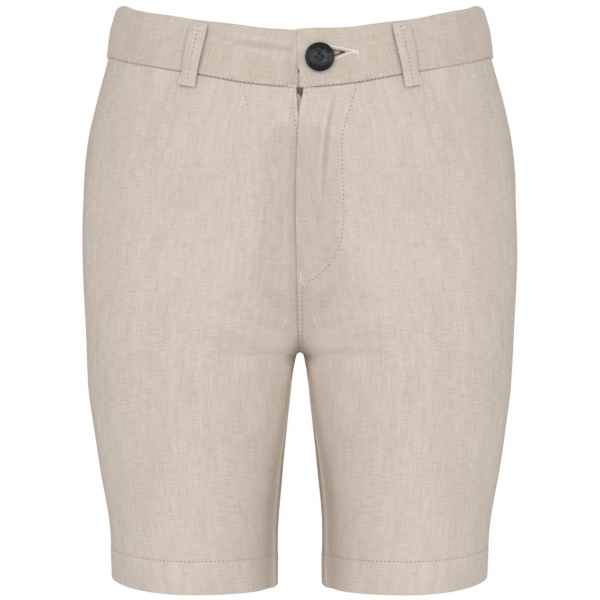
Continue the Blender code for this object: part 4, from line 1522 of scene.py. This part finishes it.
def band_mesh(name, mirrored, creases, seed):
    points, uvs, ridges = [], [], []
    for row in band_section():
        ring = band_ring(float(np.clip(row.share, -0.01, 1.01)))
        start = -BAND_UNDERLAP if mirrored else float(lap_edge(row.share))
        places = band_places(ring, start)
        fullness = end_fullness(len(places))
        row_points, row_normals = ring.read(places)
        at_front = CREASE_AT_BACK + (1 - CREASE_AT_BACK) * ease(-row_points[:, 1] / 40.0)
        shape = at_front * crease_relief(row_points[:, 0], row_points[:, 2], creases)
        crown = BAND_CROWN * math.sin(math.pi * min(max(row.share, 0), 1))
        shape = shape + crown + BAND_UNEVEN * np.sin(places / 14.0 + seed)
        pressed = ease((row.share - 0.3) / 0.25)
        if mirrored:
            shape = shape - BAND_UNDER * fading(places, BAND_BEND_END, BAND_BEND_OVER)
            shape = shape + STAND_RISE * pressed * fading(places, 4.0, 16.0) * ease((places + 9.0) / 6.0)
        else:
            near_end = fading(places, start, 9.0)
            gape = sum(gap.rise * swell(row.share, gap.place, gap.spread) for gap in LAP_OPENINGS)
            shape = shape + near_end * (gape - LAP_PRESSED * pressed)
            fullness = fullness * (1 - LAP_THINNED * pressed * near_end)
        lift = BAND_MIDDLE + (row.lift - BAND_MIDDLE) * fullness + shape
        row_points = row_points + row_normals * lift[:, None]
        row_points[:, 2] += band_waves(places, row.share, seed)
        points.append(row_points)
        inner_layer = (row.lift < BAND_MIDDLE) * 120.0
        uvs.append(np.stack([places - ring.side, row_points[:, 2] + inner_layer], -1))
        ridges.append(shape)
    points, uvs, ridges = np.array(points), np.array(uvs), np.array(ridges)
    ridges = ridges - smoothed(ridges, 3)
    if mirrored:
        points[..., 0] *= -1
    return cloth_grid(name, points, uvs, ridges, inside_out=mirrored)


# A darker copy of the linen for the band: partly the interfaced band's own tone, partly painted shade for the
# band's face.
band_linen = linen(
    "band_linen",
    dark=(0.56, 0.475, 0.4, 1.0),
    light=(0.73, 0.64, 0.56, 1.0),
    slub=(0.82, 0.74, 0.67, 1.0),
)
bands = {}
for side, creases, seed, flat in (
    ("left", LEFT_BAND_CREASES, 0.8, (0.43, 0.096)),
    ("right", RIGHT_BAND_CREASES, 2.3, (0.466, 0.096)),
):
    name = f"waistband_{side}_cloth"
    mesh = band_mesh(name, SIDES[side], creases, seed)
    bands[side] = finish_piece(name, mesh, band_linen, [f"waistband_{side}"])

# The lap stands open a little at two places, and dark patches there paint the shade inside it.
LAP_GAP_SHADES = (((-0.95, -19.6), (-0.8, -23.6), 1.1), ((-0.7, -29.9), (-0.6, -31.6), 0.8))
lap_gap_shade = Sewing()
bpy.context.view_layer.update()
for start, end, width in LAP_GAP_SHADES:
    places, _, alongs = path_on_front(bands["left"], [start, end], 1.0)
    middle = len(places) // 2
    length = math.dist(start, end)
    lap_gap_shade.stitch(places[middle], alongs[middle], Vector((0, -1, 0)), length, width / 2, rise=0.1)
lap_gap_shade.finish("lap_gap_shade", matt_finish("lap_shade", (0.035, 0.035, 0.042), 0.8))

# The stitches in the seam's ditch: how far up the band and off its face they lie, and how far they go
# round each side before they sink out of sight.
DITCH_SHARE = 0.003
DITCH_LIFT = 0.5
DITCH_REACH = 84.0
DITCH_THREAD_HALF = 0.18
for side, first in (("left", 4.0), ("right", 5.0)):
    sewing = Sewing()
    sign = mirror_sign(SIDES[side])
    points, normals = band_ring(DITCH_SHARE).read(np.arange(first, DITCH_REACH, STITCH_PITCH))
    places = [Vector((p + n * DITCH_LIFT) * MM) * sign for p, n in zip(points, normals)]
    outward = [(Vector(normal) * sign).normalized() for normal in normals]
    sewing.run(places, outward, directions(places), DITCH_THREAD_HALF)
    sewing.finish(f"waist_seam_stitches_{side}", seam_thread)

# ---- belt loops ----
# Five loops, each a strip of linen folded to three layers with one line of stitches down its middle.
# Both ends are folded under and sewn down, at the band's top edge with a tack and below the waist seam.

# How far the loop's two long edges lie from its middle line, and how far it stands off, as it goes down.
LoopRow = namedtuple("LoopRow", "share inner outer stand")
LOOP_SHAPE = [
    LoopRow(0.0, 6.6, 6.2, 0.4),
    LoopRow(0.07, 6.9, 8.6, 0.9),
    LoopRow(0.25, 7.3, 8.8, 2.0),
    LoopRow(0.5, 7.2, 8.2, 2.3),
    LoopRow(0.72, 7.0, 7.2, 1.6),
    LoopRow(0.84, 7.0, 7.0, 0.8),
    LoopRow(0.93, 7.2, 8.6, 0.5),
    LoopRow(1.0, 7.2, 8.6, 0.5),
]
loop_inner = table_curve(LOOP_SHAPE, "share", "inner")
loop_outer = table_curve(LOOP_SHAPE, "share", "outer")
loop_stand = table_curve(LOOP_SHAPE, "share", "stand")
LOOP_THICK = 1.5
LOOP_TOP = 0.04
LOOP_LENGTH_STEPS = 40
LOOP_TACK_REACH = 4.0
LOOP_TACK_WIDTH = 1.5
# Where each loop starts and ends along its ring, in millimetres from the centre front or, up to 1, as a
# share of the half's length, and how far below the waist seam it ends.
Loop = namedtuple("Loop", "name start end below mirrored")
LOOPS = [
    Loop("belt_loop_front_left", 82.2, 94.4, 11.3, False),
    Loop("belt_loop_front_right", 82.2, 94.4, 11.3, True),
    Loop("belt_loop_side_left", 0.72, 0.72, 6.0, False),
    Loop("belt_loop_side_right", 0.72, 0.72, 6.0, True),
    Loop("belt_loop_centre_back", 1.0, 1.0, 6.0, False),
]
# The strip's section, from edge to edge over the face and back inside, as shares of its half width and
# of its thickness.
Fold = namedtuple("Fold", "across rise")
LOOP_SECTION = (
    [Fold(-1.0, 0.5), Fold(-0.985, 0.78), Fold(-0.94, 0.95)]
    + [Fold(across, 1.0) for across in np.linspace(-0.86, 0.86, 11)]
    + [Fold(0.94, 0.95), Fold(0.985, 0.78), Fold(1.0, 0.5), Fold(0.985, 0.22), Fold(0.94, 0.05)]
    + [Fold(across, 0.0) for across in np.linspace(0.86, -0.86, 5)]
    + [Fold(-0.94, 0.05), Fold(-0.985, 0.22), Fold(-1.0, 0.5)]
)


def loop_ring(share, below):
    """The ring that a loop's row follows: 0 at the band's upper edge, 1 at below under the seam."""

    def heights(turns):
        around = waist_degrees(turns)
        top = waist_top(around)
        return top + share * (waist_seam(around) - below - top)

    return Ring(heights, False)


def loop_pieces(loop, seed):
    """The loop's mesh, and the line down the middle of its face for the stitches."""
    steps = [(share, 1.0) for share in np.linspace(0.03, 0.985, LOOP_LENGTH_STEPS)]
    steps = [(0.0, 0.0), (0.004, 0.6), (0.014, 0.9)] + steps + [(0.994, 0.9), (0.999, 0.6), (1.0, 0.0)]
    points, uvs, middle_line = [], [], []
    for share, fullness in steps:
        ring = loop_ring(LOOP_TOP + (1 - LOOP_TOP) * share, loop.below)
        scale = ring.length if loop.start <= 1 else 1.0
        middle = scale * (loop.start + share * (loop.end - loop.start))
        stand = BAND_OUT + 0.25 + float(loop_stand(share))
        across, rise = np.array(LOOP_SECTION).T
        reach = np.where(across < 0, float(loop_inner(share)), float(loop_outer(share)))
        places = middle + across * reach
        row_points, normals = ring.read(places)
        tilt = -0.55 * across - 0.25 * across**2 - 0.06 * np.exp(-((across / 0.12) ** 2)) * (rise > 0.9)
        thin = 1.0 - 0.55 * ease((across - 0.3) / 0.7)
        level = LOOP_THICK * thin * (0.5 + (rise - 0.5) * fullness) + tilt * math.sin(math.pi * share) ** 0.3
        wobble = 0.12 * math.sin(11 * share + seed)
        points.append(row_points + normals * (stand + level + wobble)[:, None])
        uvs.append(np.stack([across * 7.0 + seed * 31.0, np.full_like(across, share * 60.0)], -1))
        face, outward = ring.read([middle])
        middle_line.append((face[0] + outward[0] * (stand + LOOP_THICK + wobble), outward[0]))
    points, uvs = np.array(points), np.array(uvs)
    if loop.mirrored:
        points[..., 0] *= -1
    mesh = cloth_grid(f"{loop.name}_cloth", points, uvs, np.zeros(points.shape[:2]), inside_out=loop.mirrored)
    return mesh, middle_line[3:-3]


for number, loop in enumerate(LOOPS):
    mesh, middle_line = loop_pieces(loop, number)
    strip = finish_piece(f"{loop.name}_cloth", mesh, linen_cloth, [loop.name])
    sign = mirror_sign(loop.mirrored)
    points, outward, steps = along_line(middle_line, STITCH_PITCH)
    normals = [Vector(normal).normalized() * sign for normal in outward]
    places = [Vector(point * MM) * sign + normal * 0.02 * MM for point, normal in zip(points, normals)]
    alongs = [Vector(step) * sign for step in steps]
    sewing = Sewing()
    sewing.run(places, normals, alongs)
    sewing.finish(f"{loop.name}_stitches", seam_thread)
    tacks = Sewing()
    place, normal, along = places[1], normals[1], alongs[1].normalized()
    across = normal.cross(along)
    spread = np.arange(-LOOP_TACK_REACH, LOOP_TACK_REACH, TACK_PITCH)
    places = [place + across * x * MM for x in spread]
    tacks.tack(places, [normal] * len(places), [across] * len(places), LOOP_TACK_WIDTH)
    tacks.finish(f"{loop.name}_tack", tack_thread)

# ---- buttonhole and button ----
# The hole is worked in pale twist, stitch beside stitch along both lips, with a tack at the far end.
# The button's pull opens it. The button is dark horn with smoky streaks, dished, with a thick rim and
# four holes, and it stands on a short shank of thread.

HOLE_LIPS = (
    [(22.0, -1.2), (29.0, -1.7), (35.2, -2.7), (41.0, -4.2), (46.5, -5.1)],
    [(23.5, -12.6), (28.0, -11.4), (35.2, -8.6), (40.5, -6.5), (46.5, -6.0)],
)
LIP_PITCH = 0.44
LIP_WIDTHS = (3.5, 2.9)
END_TACK = [(46.9, -7.6), (47.3, -3.4)]
TWIST_HALF = 0.3
buttonhole = Sewing()
bpy.context.view_layer.update()
lines = [smooth_path(lip) for lip in HOLE_LIPS] + [END_TACK]
for line, width in zip(lines, LIP_WIDTHS + (2.2,)):
    buttonhole.tack(*path_on_front(bands["left"], line, LIP_PITCH), width, half=TWIST_HALF)
buttonhole.finish("buttonhole_twist", tack_thread)

# The slit between the lips: a dark sheet that paints the shade round its edge, and inside it a sheet for the
# underlap's cloth, darkened as painted shade.
Slit = namedtuple("Slit", "name lift inset tip colour")
SLITS = [
    Slit("buttonhole_shade", 0.06, 0.0, 36.6, (0.06, 0.045, 0.035)),
    Slit("buttonhole_underlap_in_shade", 0.1, 0.75, 34.2, (0.42, 0.33, 0.26)),
]
SLIT_START = 25.5
SLIT_EDGES = ((-3.6, -5.1), (-10.4, -6.2))
for slit in SLITS:
    opening = bmesh.new()
    bmesh.ops.create_grid(opening, x_segments=16, y_segments=4, size=1)
    for vert in opening.verts:
        share = (1 + vert.co.x) / 2
        x = SLIT_START + (slit.tip - SLIT_START) * share
        high, low = (start + (end - start) * share for start, end in SLIT_EDGES)
        half = max(0.0, (high - low) / 2 - slit.inset * (1 + 0.3 * math.sin(9 * share)))
        height = (high + low) / 2 + vert.co.y * half
        place, normal = on_cloth(bands["left"], (x * MM, -0.1, height * MM), (0, 1, 0))
        vert.co = place + normal * slit.lift * MM
    bmesh.ops.recalc_face_normals(opening, faces=opening.faces)
    shade = matt_finish(f"{slit.name}_finish", slit.colour, 0.9)
    finish_piece(slit.name, mesh_of(slit.name, opening), shade, [])

# The button's middle above the waist seam and from the centre front, how far its back stands off the
# band, and its four holes.
BUTTON_RISE = 23.3
BUTTON_FROM_CENTRE = 15.8
BUTTON_STAND = 0.75
BUTTON_SIDES = 96
HOLE_REACH = 2.55
HOLE_RADIUS = 1.05
HOLE_TURN = math.radians(9)
# Half of the button's section, from the middle of its back round the rim to the middle of its dish.
Rim = namedtuple("Rim", "radius rise")
BUTTON_SECTION = [
    Rim(0.0, 0.0),
    Rim(8.5, 0.0),
    Rim(10.4, 0.3),
    Rim(11.5, 1.0),
    Rim(12.0, 1.9),
    Rim(11.8, 2.6),
    Rim(11.1, 3.0),
    Rim(10.2, 3.05),
    Rim(9.4, 2.75),
    Rim(8.8, 2.35),
    Rim(8.0, 2.15),
    Rim(5.5, 1.85),
    Rim(0.0, 1.7),
]


def button_frame():
    """The place and the turn of the button, on the lapped end of the waistband."""
    ring = band_ring(BUTTON_RISE / (WAIST[0].top - WAIST[0].seam))
    points, normals = ring.read(ring.place_of_x(BUTTON_FROM_CENTRE))
    points = points + normals * (BAND_OUT + BUTTON_STAND)
    across = -np.cross(normals, [0.0, 0.0, 1.0])
    across = across / np.linalg.norm(across)
    turned = Matrix((across, np.cross(normals, across), normals)).transposed().to_4x4()
    return Matrix.Translation(points * MM) @ turned @ Matrix.Scale(MM, 4)


stand = button_frame()
disc = bmesh.new()
verts = [disc.verts.new((rim.radius, 0, rim.rise)) for rim in BUTTON_SECTION]
edges = [disc.edges.new(pair) for pair in zip(verts, verts[1:])]
bmesh.ops.spin(
    disc,
    geom=verts + edges,
    cent=(0, 0, 0),
    axis=(0, 0, 1),
    angle=2 * math.pi,
    steps=BUTTON_SIDES,
    use_merge=True,
)
bmesh.ops.remove_doubles(disc, verts=disc.verts, dist=1e-4)
bmesh.ops.recalc_face_normals(disc, faces=disc.faces)
bmesh.ops.transform(disc, matrix=stand, verts=disc.verts)

drills = bmesh.new()
for quarter in range(4):
    angle = HOLE_TURN + quarter * math.pi / 2
    made = bmesh.ops.create_cone(
        drills, cap_ends=True, segments=24, radius1=HOLE_RADIUS, radius2=HOLE_RADIUS, depth=12.0
    )
    shift = (HOLE_REACH * math.cos(angle), HOLE_REACH * math.sin(angle), 0)
    bmesh.ops.translate(drills, vec=shift, verts=made["verts"])
bmesh.ops.transform(drills, matrix=stand, verts=drills.verts)
drill = bpy.data.objects.new("button_drills", mesh_of("button_drills", drills))


def horn_finish():
    """Dark polished horn: a near-black rim round a smokier dish, streaked about the holes."""
    made, wire, shader = new_finish("dark_horn")
    place = wire.node("ShaderNodeTexCoord").outputs["Object"]
    reach = wire.node("ShaderNodeVectorMath", {"operation": "DISTANCE"})
    wire.set_input(reach.inputs[0], place)
    wire.set_input(reach.inputs[1], tuple(stand.to_translation()))
    dish = wire.between(reach.outputs["Value"], 8.6 * MM, 6.4 * MM)
    streaks = wire.noise(place, (240, 120, 300), 5.0)
    clouds = wire.noise(place, (210, 210, 210), 3.0)
    smoky = wire.blend(wire.between(streaks, 0.46, 0.66), (0.018, 0.016, 0.016, 1), (0.08, 0.093, 0.115, 1))
    smoky = wire.blend(wire.between(clouds, 0.42, 0.62), smoky, (0.03, 0.027, 0.026, 1))
    wire.feed(
        shader,
        Base_Color=wire.blend(dish, (0.006, 0.006, 0.007, 1), smoky),
        Roughness=wire.between(dish, 0.0, 1.0, 0.16, 0.34),
        Specular_IOR_Level=0.3,
    )
    return made


button = finish_piece("button_disc", mesh_of("button_disc", disc), horn_finish(), ["button"])
scene.collection.objects.link(drill)
holes = button.modifiers.new("holes", "BOOLEAN")
holes.operation = "DIFFERENCE"
holes.object = drill
bpy.context.view_layer.update()
holed = bpy.data.meshes.new_from_object(button.evaluated_get(bpy.context.evaluated_depsgraph_get()))
button.modifiers.clear()
button.data = holed
bpy.data.objects.remove(drill)
holed.shade_smooth()
holed.set_sharp_from_angle(angle=math.radians(35))

shank = bmesh.new()
bmesh.ops.create_cone(shank, cap_ends=True, segments=24, radius1=3.6, radius2=3.2, depth=3.2)
bmesh.ops.translate(shank, verts=shank.verts, vec=(0, 0, -0.3))
bmesh.ops.transform(shank, matrix=stand, verts=shank.verts)
shank_mesh = mesh_of("button_shank", shank)
shank_mesh.shade_smooth()
dark_thread = matt_finish("button_thread", (0.02, 0.02, 0.022), 0.6)
finish_piece("button_shank", shank_mesh, dark_thread, [])
